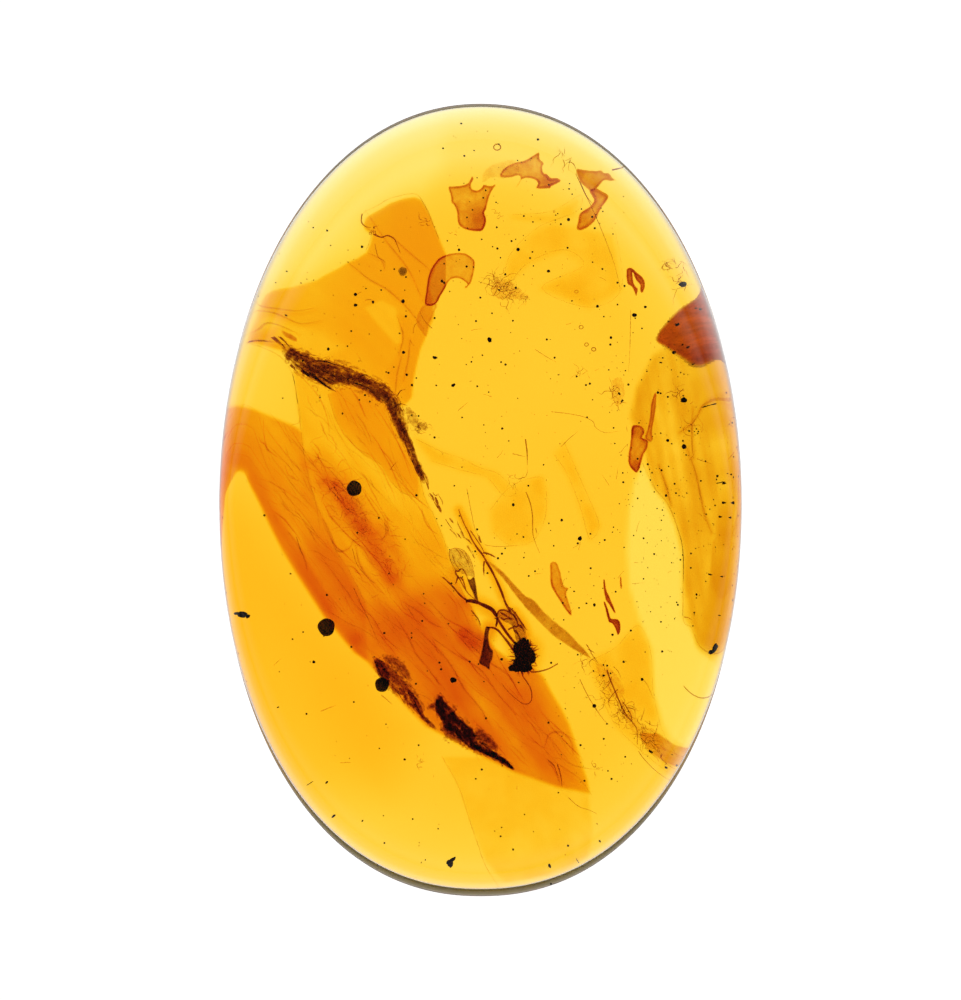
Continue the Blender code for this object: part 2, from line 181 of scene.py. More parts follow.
def stone_top(x, y):
    """Height of the domed face over a point, and 0 outside the stone."""
    share = stone_share(x, y)
    return np.where(share < 1, dome_height(share, np.arctan2(y, x)), 0.0)


def sunk(x, y, level):
    """Where a thing at a level lies, when x and y are where it shows through the dome.

    The sloping face bends the upright line of sight toward the stone's middle. By the stone's
    edge the bend keeps to that of the steepest slope, past which the view would fold over.
    """
    turn = np.arctan2(y, x)

    def height(at_x, at_y):
        return dome_height(stone_share(at_x, at_y), np.arctan2(at_y, at_x))

    slope_x = (height(x + SLOPE_STEP, y) - height(x - SLOPE_STEP, y)) / (2 * SLOPE_STEP)
    slope_y = (height(x, y + SLOPE_STEP) - height(x, y - SLOPE_STEP)) / (2 * SLOPE_STEP)
    slope = np.maximum(np.hypot(slope_x, slope_y), 1e-9)
    steepest = STEEPEST + HEAD_STEEPER * ease((y - HEAD_START) / HEAD_RUN)
    tilt = np.arctan(np.minimum(slope, steepest))
    bend = tilt - np.arcsin(np.sin(tilt) / REFRACTION)
    shift = np.maximum(dome_height(stone_share(x, y), turn) - level, 0) * np.tan(bend)
    return x + shift * slope_x / slope, y + shift * slope_y / slope


def lattice_noise(x, y, seed):
    """Smooth noise from -1 to 1 on unit squares."""
    cell_x, cell_y = np.floor(x), np.floor(y)
    ease_x, ease_y = x - cell_x, y - cell_y
    ease_x = ease_x * ease_x * (3 - 2 * ease_x)
    ease_y = ease_y * ease_y * (3 - 2 * ease_y)

    def corner(step_x, step_y):
        mixed = (cell_x + step_x) * 127.1 + (cell_y + step_y) * 311.7 + seed * 74.7
        wave = np.sin(mixed) * 43758.5453
        return (wave - np.floor(wave)) * 2 - 1

    low = corner(0, 0) * (1 - ease_x) + corner(1, 0) * ease_x
    high = corner(0, 1) * (1 - ease_x) + corner(1, 1) * ease_x
    return low * (1 - ease_y) + high * ease_y


def cloud(x, y, scale, seed, octaves=4):
    """Fractal noise from about -1 to 1, whose largest lumps measure one scale."""
    total = np.zeros_like(np.asarray(x, dtype=float))
    weight = 0.5
    for octave in range(octaves):
        grain = 2 ** octave / scale
        total += weight * lattice_noise(x * grain + 17 * octave, y * grain - 9 * octave, seed)
        weight *= 0.5
    return total


def streaks(x, y, heading, length, width, seed):
    """Noise drawn out along a heading in degrees."""
    angle = math.radians(heading)
    along = x * math.cos(angle) + y * math.sin(angle)
    across = -x * math.sin(angle) + y * math.cos(angle)
    return cloud(along * width / length, across, width, seed)


def ease(value):
    """0 to 1 with soft ends."""
    value = np.clip(value, 0, 1)
    return value * value * (3 - 2 * value)


def smooth_line(points, steps, closed=False):
    """Catmull-Rom curve through points of any dimension."""
    points = np.asarray(points, dtype=float)
    count = len(points)
    spans = count if closed else count - 1
    result = []
    for index in range(spans):
        if closed:
            four = [points[(index + shift) % count] for shift in (-1, 0, 1, 2)]
        else:
            four = [points[min(max(index + shift, 0), count - 1)] for shift in (-1, 0, 1, 2)]
        for step in range(steps):
            t = step / steps
            result.append(0.5 * (
                2 * four[1] + (four[2] - four[0]) * t
                + (2 * four[0] - 5 * four[1] + 4 * four[2] - four[3]) * t ** 2
                + (3 * four[1] - four[0] - 3 * four[2] + four[3]) * t ** 3))
    if not closed:
        result.append(points[-1])
    return np.array(result)


def span_distance(x, y, start, end):
    """Distance to one straight span."""
    (ax, ay), (bx, by) = start, end
    run_x, run_y = bx - ax, by - ay
    square = max(run_x ** 2 + run_y ** 2, 1e-12)
    share = np.clip(((x - ax) * run_x + (y - ay) * run_y) / square, 0, 1)
    return np.hypot(x - ax - share * run_x, y - ay - share * run_y)


def inside_distance(x, y, outline):
    """Distance to a closed outline, positive inside it and negative outside."""
    nearest = np.full(x.shape, FAR)
    inside = np.zeros(x.shape, dtype=bool)
    for (ax, ay), (bx, by) in zip(outline, np.roll(outline, -1, axis=0)):
        nearest = np.minimum(nearest, span_distance(x, y, (ax, ay), (bx, by)))
        run_x, run_y = bx - ax, by - ay
        crosses = (ay > y) != (by > y)
        if abs(run_y) > 1e-12:
            inside ^= crosses & (x < ax + (y - ay) * run_x / run_y)
    return np.where(inside, nearest, -nearest)


def line_distance(x, y, line):
    """Distance to an open line of points."""
    nearest = np.full(x.shape, FAR)
    for start, end in zip(line, line[1:]):
        nearest = np.minimum(nearest, span_distance(x, y, start, end))
    return nearest


# ---- meshes ----

def add_piece(name, points, faces, material, replaced=()):
    """Make a mesh piece from points in millimetres; it rides with the stone."""
    mesh = bpy.data.meshes.new(name)
    mesh.from_pydata((np.asarray(points, dtype=float) * MM).tolist(), [], faces)
    mesh.validate()
    mesh.shade_smooth()
    mesh.materials.append(material)
    thing = bpy.data.objects.new(name, mesh)
    bpy.context.scene.collection.objects.link(thing)
    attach(thing, "root")
    if replaced:
        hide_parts(*replaced)
    return thing


class Shapes:
    """Points and faces of one piece, gathered from several closed shapes."""

    def __init__(self):
        self.points = []
        self.faces = []

    def add(self, points, faces):
        first = len(self.points)
        self.points.extend([tuple(point) for point in points])
        self.faces.extend([tuple(first + corner for corner in face) for face in faces])

    def tube(self, line, radii, sides=6, flatness=1.0):
        """A closed tube along a line; radii are one number or one for each point."""
        line = np.asarray(line, dtype=float)
        radii = np.broadcast_to(np.asarray(radii, dtype=float), (len(line),))
        ahead = np.gradient(line, axis=0)
        ahead /= np.maximum(np.linalg.norm(ahead, axis=1, keepdims=True), 1e-9)
        upright = np.where(np.abs(ahead[:, 2:3]) > 0.95, [[1.0, 0, 0]], [[0, 0, 1.0]])
        aside = np.cross(ahead, upright)
        aside /= np.maximum(np.linalg.norm(aside, axis=1, keepdims=True), 1e-9)
        above = np.cross(aside, ahead)
        points = []
        for index in range(len(line)):
            for side in range(sides):
                angle = 2 * math.pi * side / sides
                reach = aside[index] * math.cos(angle) + above[index] * math.sin(angle) * flatness
                points.append(line[index] + reach * radii[index])
        faces = []
        for index in range(len(line) - 1):
            for side in range(sides):
                here, across = index * sides, (side + 1) % sides
                faces.append((here + side, here + sides + side,
                              here + sides + across, here + across))
        faces.append(tuple(range(sides)))
        faces.append(tuple((len(line) - 1) * sides + side for side in reversed(range(sides))))
        self.add(points, faces)

    def ball(self, centre, size, lumps=0.0, seed=1, rings=8, sides=12, turn=0.0):
        """A stretched ball with an uneven surface."""
        chance = random.Random(seed)
        phases = [chance.uniform(0, 6.28) for _ in range(4)]
        spin = math.radians(turn)
        points = [(0.0, 0.0, 0.5)]
        for ring in range(1, rings):
            slope = math.pi * ring / rings
            for side in range(sides):
                angle = 2 * math.pi * side / sides
                wobble = 1 + lumps * (math.sin(3 * angle + phases[0])
                                      * math.sin(2 * slope + phases[1])
                                      + 0.6 * math.sin(5 * angle + phases[2] + 3 * slope)
                                      + 0.5 * math.sin(7 * slope + phases[3])) / 2
                points.append((0.5 * wobble * math.sin(slope) * math.cos(angle),
                               0.5 * wobble * math.sin(slope) * math.sin(angle),
                               0.5 * wobble * math.cos(slope)))
        points.append((0.0, 0.0, -0.5))
        placed = []
        for x, y, z in points:
            x, y, z = x * size[0], y * size[1], z * size[2]
            placed.append((centre[0] + x * math.cos(spin) - y * math.sin(spin),
                           centre[1] + x * math.sin(spin) + y * math.cos(spin), centre[2] + z))
        faces = []
        for side in range(sides):
            across = (side + 1) % sides
            faces.append((0, 1 + side, 1 + across))
            for ring in range(rings - 2):
                here = 1 + ring * sides
                faces.append((here + side, here + sides + side,
                              here + sides + across, here + across))
            last = 1 + (rings - 2) * sides
            faces.append((last + side, len(points) - 1, last + across))
        self.add(placed, faces)

    def piece(self, name, material, slot, replaced=()):
        """Make the piece; its points were given as they show through the dome."""
        points = np.array(self.points)
        x, y = sunk(points[:, 0], points[:, 1], points[:, 2])
        points = np.stack([x, y, points[:, 2]], axis=1)
        return add_piece(name, points, self.faces, material, replaced)


def lens(name, material, box, cell, thickness, level, replaced=(), seen=True):
    """A closed sheet whose thickness over each point of a grid follows a rule.

    box is the grid's low and high corner. thickness and level take arrays of x and y,
    as they show through the dome, or where they lie if seen is off.
    """
    (low_x, low_y), (high_x, high_y) = box
    xs = np.arange(low_x, high_x + cell, cell)
    ys = np.arange(low_y, high_y + cell, cell)
    seen_x, seen_y = np.meshgrid(xs, ys, indexing="ij")
    depth = thickness(seen_x, seen_y)
    middle = level(seen_x, seen_y)
    x, y = seen_x, seen_y
    if seen:
        held = np.minimum(1, HELD_SHARE / np.maximum(stone_share(x, y), 1e-6))
        near = np.minimum(middle, stone_top(x * held, y * held) / 2)
        near_x, near_y = sunk(x * held, y * held, near)
        x, y = near_x + x * (1 - held), near_y + y * (1 - held)
    inward = np.minimum(1, EDGE_SHARE / np.maximum(stone_share(x, y), 1e-6))
    x, y = x * inward, y * inward
    roof = stone_top(x, y) - SKIN_MARGIN
    room = np.maximum(roof - SKIN_MARGIN, 1e-6)
    depth = (room * depth
             / (room ** ROOM_POWER + np.maximum(depth, 0) ** ROOM_POWER) ** (1 / ROOM_POWER))
    middle = np.clip(middle, SKIN_MARGIN + depth / 2, np.maximum(roof - depth / 2, SKIN_MARGIN))
    solid = (depth > THINNEST) & (inward == 1)
    depth = np.where(solid, depth, 0)
    corners = solid[:-1, :-1] | solid[1:, :-1] | solid[:-1, 1:] | solid[1:, 1:]
    used = np.zeros_like(solid)
    used[:-1, :-1] |= corners
    used[1:, :-1] |= corners
    used[:-1, 1:] |= corners
    used[1:, 1:] |= corners
    upper = np.full(x.shape, -1)
    upper[used] = np.arange(used.sum())
    lower = upper.copy()
    lower[solid] = used.sum() + np.arange(solid.sum())
    top_points = np.stack([x[used], y[used], (middle + depth / 2)[used]], axis=1)
    bottom_points = np.stack([x[solid], y[solid], (middle - depth / 2)[solid]], axis=1)
    cells = np.argwhere(corners)
    row, column = cells[:, 0], cells[:, 1]

    def quads(index):
        return np.stack([index[row, column], index[row + 1, column],
                         index[row + 1, column + 1], index[row, column + 1]], axis=1)

    faces = np.concatenate([quads(upper), quads(lower)[:, ::-1]])
    return add_piece(name, np.concatenate([top_points, bottom_points]), faces.tolist(),
                     material, replaced)


def box_of(outline, margin):
    """Low and high corner round an outline."""
    low = outline.min(axis=0) - margin
    high = outline.max(axis=0) + margin
    return tuple(low), tuple(high)


# ---- materials ----

def new_material(name):
    """A material with its node tree and its shader."""
    material = bpy.data.materials.new(name)
    material.use_nodes = True
    return material, material.node_tree, material.node_tree.nodes["Principled BSDF"]


def add_node(tree, kind, settings=(), **inputs):
    """A node with settings of its own and values on its inputs; _ stands for a space."""
    node = tree.nodes.new(kind)
    for key, value in dict(settings).items():
        setattr(node, key, value)
    for key, value in inputs.items():
        node.inputs[key.replace("_", " ")].default_value = value
    return node


def object_noise(tree, scale, detail=4.0):
    """A noise texture fixed to the object, whose lumps measure one scale in millimetres."""
    place = tree.nodes.new("ShaderNodeTexCoord")
    texture = add_node(tree, "ShaderNodeTexNoise", Scale=1 / (scale * MM), Detail=detail,
                       Roughness=NOISE_ROUGHNESS)
    tree.links.new(place.outputs["Object"], texture.inputs["Vector"])
    return texture


def map_range(tree, source, start, end, low=0.0, high=1.0):
    """A value that runs from low to high while its source runs from start to end."""
    node = tree.nodes.new("ShaderNodeMapRange")
    for key, value in (("From Min", start), ("From Max", end), ("To Min", low), ("To Max", high)):
        node.inputs[key].default_value = value
    tree.links.new(source, node.inputs["Value"])
    return node.outputs["Result"]


def set_inputs(shader, settings):
    """Set a shader's inputs by their names."""
    for key, value in settings.items():
        shader.inputs[key].default_value = value


def colour_ramp(tree, source, stops):
    """Colours along a value: each stop is a place from 0 to 1 and a colour."""
    ramp = tree.nodes.new("ShaderNodeValToRGB")
    elements = ramp.color_ramp.elements
    while len(elements) < len(stops):
        elements.new(0.5)
    for element, (place, colour) in zip(elements, stops):
        element.position = place
        element.color = (*colour, 1)
    tree.links.new(source, ramp.inputs["Fac"])
    return ramp


def add_bump(tree, shader, source, distance):
    bump = add_node(tree, "ShaderNodeBump", Strength=BUMP_STRENGTH, Distance=distance * MM)
    tree.links.new(source, bump.inputs["Height"])
    tree.links.new(bump.outputs["Normal"], shader.inputs["Normal"])


def absorb(tree, colour, density):
    """Let a material swallow light by its depth."""
    volume = add_node(tree, "ShaderNodeVolumeAbsorption", Color=(*colour, 1), Density=density)
    tree.links.new(volume.outputs["Volume"], tree.nodes["Material Output"].inputs["Volume"])


def amber_material():
    """Clear amber with a polished face that is a little duller in patches."""
    material, tree, shader = new_material("clear_amber")
    set_inputs(shader, {"Base Color": (1, 1, 1, 1), "Transmission Weight": 1, "IOR": REFRACTION,
                        "Specular IOR Level": AMBER_SPECULAR})
    texture = object_noise(tree, 0.9, detail=3)
    ramp = colour_ramp(tree, texture.outputs["Fac"], [(0.45, (0, 0, 0)), (0.8, (0.05, 0.05, 0.05))])
    tree.links.new(ramp.outputs["Color"], shader.inputs["Roughness"])
    absorb(tree, AMBER_COLOUR, AMBER_DENSITY)
    return material


def wall_material():
    """The stone's upright wall: deep amber, and toward its ends painted shade in grey-brown, darkest
    by the dome and paler toward the floor, for the dark rim and its soft shadow; rougher there.
    """
    material, tree, shader = new_material("amber_wall_with_painted_shade")
    place = tree.nodes.new("ShaderNodeTexCoord")
    parts = tree.nodes.new("ShaderNodeSeparateXYZ")
    tree.links.new(place.outputs["Object"], parts.inputs["Vector"])
    half = LENGTH / 2 * MM
    # Where the painted shade and the rougher face go: the head and the foot.
    ends = colour_ramp(tree, map_range(tree, parts.outputs["Y"], -half, half), [
        (0.1, (1, 1, 1)), (0.35, (0, 0, 0)), (0.72, (0, 0, 0)), (0.92, (1, 1, 1))])
    # The film is painted shade: grey-brown, darkest where the wall meets the dome and paler toward
    # the floor, in place of the dark rim and its soft shadow.
    film = colour_ramp(tree, map_range(tree, parts.outputs["Z"], 0.0, GIRDLE_FOOT * MM), [
        (0.0, (0.5, 0.45, 0.42)), (0.35, (0.16, 0.13, 0.1)), (0.8, (0.05, 0.04, 0.028))])
    texture = object_noise(tree, 0.5, detail=5)
    amber = colour_ramp(tree, texture.outputs["Fac"], [
        (0.35, (0.42, 0.15, 0.03)), (0.7, (0.72, 0.36, 0.1))])
    mix = add_node(tree, "ShaderNodeMix", {"data_type": "RGBA"})
    tree.links.new(ends.outputs["Color"], mix.inputs["Factor"])
    tree.links.new(amber.outputs["Color"], mix.inputs["A"])
    tree.links.new(film.outputs["Color"], mix.inputs["B"])
    tree.links.new(mix.outputs["Result"], shader.inputs["Base Color"])
    dull = map_range(tree, ends.outputs["Color"], 0.0, 1.0, WALL_GLOSSY, WALL_DULL)
    tree.links.new(dull, shader.inputs["Roughness"])
    set_inputs(shader, {"Transmission Weight": WALL_TRANSMISSION, "IOR": REFRACTION,
                        "Specular IOR Level": 0, "Specular Tint": (0.3, 0.25, 0.2, 1)})
    absorb(tree, AMBER_COLOUR, AMBER_DENSITY)
    return material


def tint_material(name, colour, density, mottle=None, scale=0.5):
    """Tinted amber of the stone's own clearness: it only absorbs."""
    material, tree, shader = new_material(name)
    set_inputs(shader, {"Transmission Weight": 1, "IOR": 1.0, "Roughness": 0,
                        "Base Color": (1, 1, 1, 1)})
    if mottle:
        texture = object_noise(tree, scale)
        ramp = colour_ramp(tree, texture.outputs["Fac"], [(0.35, mottle), (0.65, (1, 1, 1))])
        tree.links.new(ramp.outputs["Color"], shader.inputs["Base Color"])
    absorb(tree, colour, density)
    return material


def scrap_material(name, dark, light, scale, roughness):
    """Old plant matter or chitin: two tones in lumps and a rough skin."""
    material, tree, shader = new_material(name)
    texture = object_noise(tree, scale, detail=6)
    ramp = colour_ramp(tree, texture.outputs["Fac"], [(0.35, dark), (0.7, light)])
    tree.links.new(ramp.outputs["Color"], shader.inputs["Base Color"])
    shader.inputs["Roughness"].default_value = roughness
    add_bump(tree, shader, texture.outputs["Fac"], scale * 0.3)
    return material


# ---- the stone ----

def make_amber(material, side_material):
    """The whole stone as rings from the dome's top down over the wall to the underside."""
    turns = np.arange(OUTLINE_STEPS) * 2 * math.pi / OUTLINE_STEPS
    reach = outline_reach(turns)
    edge = dome_edge(turns)
    girdle = girdle_height(turns)
    rings = []
    for step in range(1, DOME_RINGS + 1):
        share = edge * (1 - (1 - step / DOME_RINGS) ** RING_CROWDING)
        rings.append((share, dome_height(share, turns)))
    for step in range(1, WALL_RINGS):
        fall = step / WALL_RINGS
        rings.append((edge + (1 - edge) * fall, girdle + (BASE_ROUND - girdle) * fall))
    for step in range(BASE_RINGS + 1):
        angle = math.pi / 2 * step / BASE_RINGS
        share = 1 - BASE_INSET * (1 - math.cos(angle))
        rings.append((np.full(OUTLINE_STEPS, share),
                      np.full(OUTLINE_STEPS, BASE_ROUND * (1 - math.sin(angle)))))
    points = [np.array([[0.0, 0.0, HEIGHT]])]
    for share, height in rings:
        x, y = share * reach * np.cos(turns), share * reach * np.sin(turns)
        wave = POLISH_WAVE * cloud(x, y, 3.0, 5) * ease((height - girdle) * 2)
        points.append(np.stack([x, y, height + wave], axis=1))
    faces = []
    wall_faces = []
    for step in range(OUTLINE_STEPS):
        across = (step + 1) % OUTLINE_STEPS
        faces.append((0, 1 + step, 1 + across))
        for ring in range(len(rings) - 1):
            here = 1 + ring * OUTLINE_STEPS
            below = here + OUTLINE_STEPS
            if DOME_RINGS - 1 <= ring < DOME_RINGS + WALL_RINGS - 1:
                wall_faces.append(len(faces))
            faces.append((here + step, below + step, below + across, here + across))
    last = 1 + (len(rings) - 1) * OUTLINE_STEPS
    faces.append(tuple(last + step for step in reversed(range(OUTLINE_STEPS))))
    stone = add_piece("amber", np.concatenate(points), faces, material,
                      ("amber_lower", "amber_upper"))
    stone.data.polygons[len(faces) - 1].use_smooth = False
    stone.data.materials.append(side_material)
    for face in wall_faces:
        stone.data.polygons[face].material_index = 1


# ---- tinted flow bands ----

def patch(x, y, outline, edge, amount=1.0):
    """An amount inside an outline, which falls to nothing over an edge's width."""
    return amount * ease(0.5 + inside_distance(x, y, np.asarray(outline, dtype=float)) / edge)


def stroke(x, y, line, width, amount=1.0):
    """An amount along a line, which falls to nothing at half the width from it."""
    return amount * ease(1 - line_distance(x, y, smooth_line(line, 4)) / (width / 2))


CLEAR_WINDOW = (
    (5.05, 1.15), (5.4, 0.4), (5.83, -0.14), (6.13, -0.87), (6.32, -1.72), (6.32, -3.6),
    (6.6, -4.05), (6.9, -4.75), (7.2, -5.6), (7.3, -6.0), (8.5, -7.5), (6.0, -9.6), (6.02, -8.7),
    (5.83, -7.8), (5.65, -6.8), (5.42, -6.1), (5.32, -4.6), (4.98, -3.8), (4.64, -2.73),
    (4.55, -1.6), (4.62, -0.3), (4.78, 0.55),
)
PALE_WEDGE = (
    (-9.0, 4.9), (-7.3, 5.0), (-6.8, 4.75), (-6.3, 4.5), (-5.9, 4.0), (-5.75, 3.3), (-5.62, 2.5),
    (-5.9, 2.35), (-6.6, 2.65), (-7.3, 2.95), (-9.0, 3.1),
)
PALE_SHOULDER = (
    (-9.0, 6.0), (-7.3, 6.2), (-6.8, 6.5), (-5.9, 6.7), (-5.0, 7.1), (-4.2, 7.5), (-3.6, 7.8),
    (-3.5, 8.3), (-3.7, 8.8), (-3.3, 9.15), (-2.3, 9.6), (-1.8, 9.6), (-1.2, 10.4), (-1.2, 13.0),
    (-9.0, 13.0),
)
UPPER_VEIL = (
    (-8.2, 5.1), (-7.9, 6.1), (-7.0, 6.4), (-6.5, 6.55), (-5.95, 6.65), (-5.4, 6.9), (-5.0, 7.1),
    (-4.5, 7.3), (-4.2, 7.47), (-3.85, 7.6), (-3.58, 7.78), (-3.45, 8.1), (-3.42, 8.38),
    (-3.65, 8.55), (-3.73, 8.7), (-3.66, 8.95), (-3.5, 9.05), (-3.2, 9.2), (-2.9, 9.38),
    (-2.5, 9.5), (-2.1, 9.56), (-1.9, 9.45), (-1.75, 9.2), (-1.6, 8.9), (-1.45, 8.5), (-1.3, 8.15),
    (-1.08, 7.65), (-1.4, 7.3), (-1.6, 6.7), (-1.5, 6.2), (-1.45, 5.7), (-1.65, 5.2),
    (-1.88, 4.7), (-2.0, 4.2), (-2.1, 3.7), (-2.15, 3.2), (-2.4, 2.9), (-2.9, 3.2), (-3.6, 3.6),
    (-4.6, 4.0), (-5.4, 4.25), (-6.2, 4.7), (-6.9, 4.85),
)
VEIL_FOLD = (
    (-3.6, 9.1), (-3.0, 8.15), (-2.4, 7.4), (-2.1, 6.9), (-1.8, 6.2), (-1.4, 6.0), (-0.9, 7.6),
    (-1.4, 8.6), (-1.9, 9.5), (-2.9, 9.6),
)
VEIL_MIDDLE = (
    (-4.2, 7.5), (-3.5, 6.9), (-2.9, 6.55), (-2.3, 6.0), (-1.75, 5.3), (-1.5, 5.9), (-1.8, 6.2),
    (-2.1, 6.9), (-2.4, 7.4), (-3.0, 8.15), (-3.6, 9.1), (-3.8, 8.7), (-3.4, 8.3), (-3.6, 7.8),
)
VEIL_TAIL = (
    (-2.55, 5.8), (-2.45, 5.0), (-2.6, 4.5), (-2.9, 4.0), (-2.8, 3.2), (-2.1, 3.0), (-1.95, 4.2),
    (-1.7, 5.1), (-2.1, 5.7),
)
VEIL_GAP = (
    (-3.6, 6.0), (-3.3, 5.6), (-2.9, 5.15), (-2.65, 4.85), (-2.45, 4.9), (-2.5, 5.5),
    (-2.65, 6.0), (-3.1, 6.25),
)
VEIL_PALE_STREAK = (
    (-7.3, 5.9), (-6.6, 5.9), (-6.3, 5.6), (-5.6, 5.5), (-4.9, 5.2), (-4.3, 4.75), (-4.9, 4.4),
    (-5.6, 4.7), (-6.6, 5.3), (-7.4, 5.4),
)
VEIL_LINES = (
    ((-3.6, 9.05), (-3.0, 8.15), (-2.4, 7.4), (-2.1, 6.9), (-1.8, 6.2)),
    ((-4.2, 7.47), (-3.5, 6.9), (-2.9, 6.55), (-2.3, 6.0), (-1.75, 5.3)),
    ((-2.75, 8.2), (-2.2, 7.7), (-1.6, 7.2)),
    ((-3.5, 7.7), (-3.1, 7.5), (-3.0, 7.2)),
    ((-1.9, 9.45), (-1.75, 9.2), (-1.6, 8.9), (-1.45, 8.5), (-1.3, 8.15)),
    ((-2.6, 5.75), (-2.45, 5.3), (-2.42, 5.0), (-2.55, 4.5)),
    ((-2.2, 5.0), (-2.25, 4.4), (-2.4, 3.7)),
    ((-2.45, 4.5), (-2.6, 3.9), (-2.65, 3.3)),
    ((-7.0, 6.3), (-6.5, 5.9), (-5.9, 5.85), (-5.2, 6.0)),
    ((-7.1, 5.5), (-6.8, 5.75), (-6.2, 5.7), (-5.6, 5.5), (-5.0, 5.6)),
    ((-7.0, 5.0), (-6.6, 5.15), (-6.3, 5.4), (-5.7, 5.2)),
    ((-6.9, 4.75), (-6.5, 4.85), (-6.2, 4.9)),
)

BELOW_TWIG = (
    (-4.75, 3.3), (-4.5, 2.5), (-4.1, 1.9), (-3.6, 1.4), (-3.1, 1.1), (-2.8, 0.6), (-2.45, 0.25),
    (-1.95, 0.05), (-1.95, 0.9), (-2.2, 1.6), (-2.45, 2.3), (-2.8, 2.9), (-3.4, 3.4), (-4.2, 3.6),
)
BAND_LOWER = (
    (-9.0, 3.0), (-8.5, 2.2), (-7.9, 1.55), (-7.5, 0.95), (-7.0, 0.1), (-6.6, -0.75), (-6.17, -1.6),
    (-5.74, -2.3), (-5.26, -3.05), (-4.88, -3.63), (-4.4, -4.2), (-3.92, -4.75), (-3.53, -5.02),
    (-3.1, -5.5), (-2.7, -6.0), (-2.2, -6.55), (-1.7, -7.05), (-1.2, -7.3), (-0.6, -7.65),
    (0.0, -7.95), (0.5, -8.2), (1.0, -8.45), (1.7, -8.7), (2.4, -8.95), (3.4, -9.15),
)
BAND_TIP = (
    (3.33, -8.8), (3.15, -8.2), (2.95, -7.6), (2.75, -7.0), (2.5, -6.5), (2.2, -6.0), (1.95, -5.5),
    (1.6, -5.2), (1.0, -5.1), (0.4, -4.6),
)
BAND_UPPER = (
    (0.0, -4.0), (-0.2, -3.5), (-0.5, -3.0), (-0.8, -2.3), (-1.0, -1.7), (-1.2, -1.1), (-1.5, -0.4),
    (-1.75, 0.1), (-1.95, 0.9), (-2.2, 1.6), (-2.45, 2.3), (-2.8, 2.9), (-3.6, 3.5), (-4.6, 3.9),
    (-5.5, 4.2), (-5.85, 4.0), (-5.75, 3.4), (-5.6, 2.2),
)
BAND_LEFT = ((-5.9, 2.35), (-6.4, 2.55), (-7.0, 2.8), (-7.5, 2.95))
LEFT_LOBE_EDGE = (
    (-5.6, 2.1), (-5.5, 1.4), (-5.35, 0.7), (-5.15, 0.0), (-4.95, -0.5), (-4.7, -1.1), (-4.5, -1.6),
    (-4.1, -2.2), (-3.6, -3.2),
)
DEEP_END = (
    (-4.2, -4.4), (-3.6, -3.9), (-3.0, -3.5), (-2.4, -3.3), (-1.6, -3.0), (-0.9, -2.8),
    (-0.5, -3.0), (-0.2, -3.5), (0.0, -4.0), (0.5, -4.9), (1.0, -5.3), (1.8, -5.5), (2.2, -6.2),
    (2.6, -7.0), (2.9, -7.7), (3.4, -9.2), (1.0, -8.6), (-1.2, -7.4), (-3.1, -5.6), (-4.0, -4.8),
)
BAND_HEART = (
    (-5.1, 0.9), (-4.2, 0.9), (-3.0, 0.0), (-2.0, -0.8), (-1.3, -1.4), (-0.9, -2.4), (-0.4, -3.2),
    (-2.5, -4.2), (-4.9, -3.6), (-5.6, -2.2), (-5.2, -0.6),
)
EDGE_STREAK = (
    (-8.0, 1.9), (-7.5, 1.35), (-7.0, 0.6), (-6.55, -0.25), (-6.1, -1.05), (-5.7, -1.75),
    (-5.3, -2.45), (-4.9, -3.1), (-4.5, -3.7), (-3.9, -4.3),
)
RED_CLOUD = (
    (-5.1, 1.15), (-4.9, 0.8), (-4.5, 0.3), (-4.2, -0.15), (-3.85, -0.6), (-3.5, -1.0),
    (-3.15, -1.5), (-2.95, -2.0), (-2.8, -2.4),
)
BAND_STREAKS = (
    ((-4.9, -0.6), (-4.7, -1.0), (-4.55, -1.4), (-4.4, -1.6), (-4.1, -1.5), (-3.95, -1.2)),
    ((-3.9, -1.4), (-3.8, -1.9), (-3.6, -2.3), (-3.3, -2.6)),
    ((-3.0, -0.6), (-2.9, -1.0), (-3.1, -1.25)),
    ((-2.7, -3.6), (-2.3, -4.2), (-2.0, -4.8), (-1.6, -5.3), (-1.2, -5.9)),
    ((-2.0, -4.0), (-1.3, -4.7), (-0.9, -5.2), (-0.5, -5.9), (0.0, -6.5), (0.2, -6.9)),
    ((-1.5, -4.3), (-0.8, -4.8), (0.0, -5.3), (0.5, -6.0), (1.1, -6.7)),
    ((-0.4, -4.4), (0.2, -5.0), (0.9, -5.5), (1.2, -6.1)),
    ((2.1, -8.1), (2.3, -8.4), (2.5, -8.9)),
    ((2.0, -7.7), (2.15, -7.3), (2.5, -7.25), (2.8, -7.5), (2.9, -7.9)),
    ((-6.0, -1.0), (-5.7, -1.4), (-5.5, -1.8), (-5.4, -2.2)),
    ((-2.4, -3.2), (-1.9, -3.5), (-1.6, -3.8), (-1.2, -4.0)),
    ((-0.2, -6.9), (0.3, -7.4), (0.8, -8.0)),
)

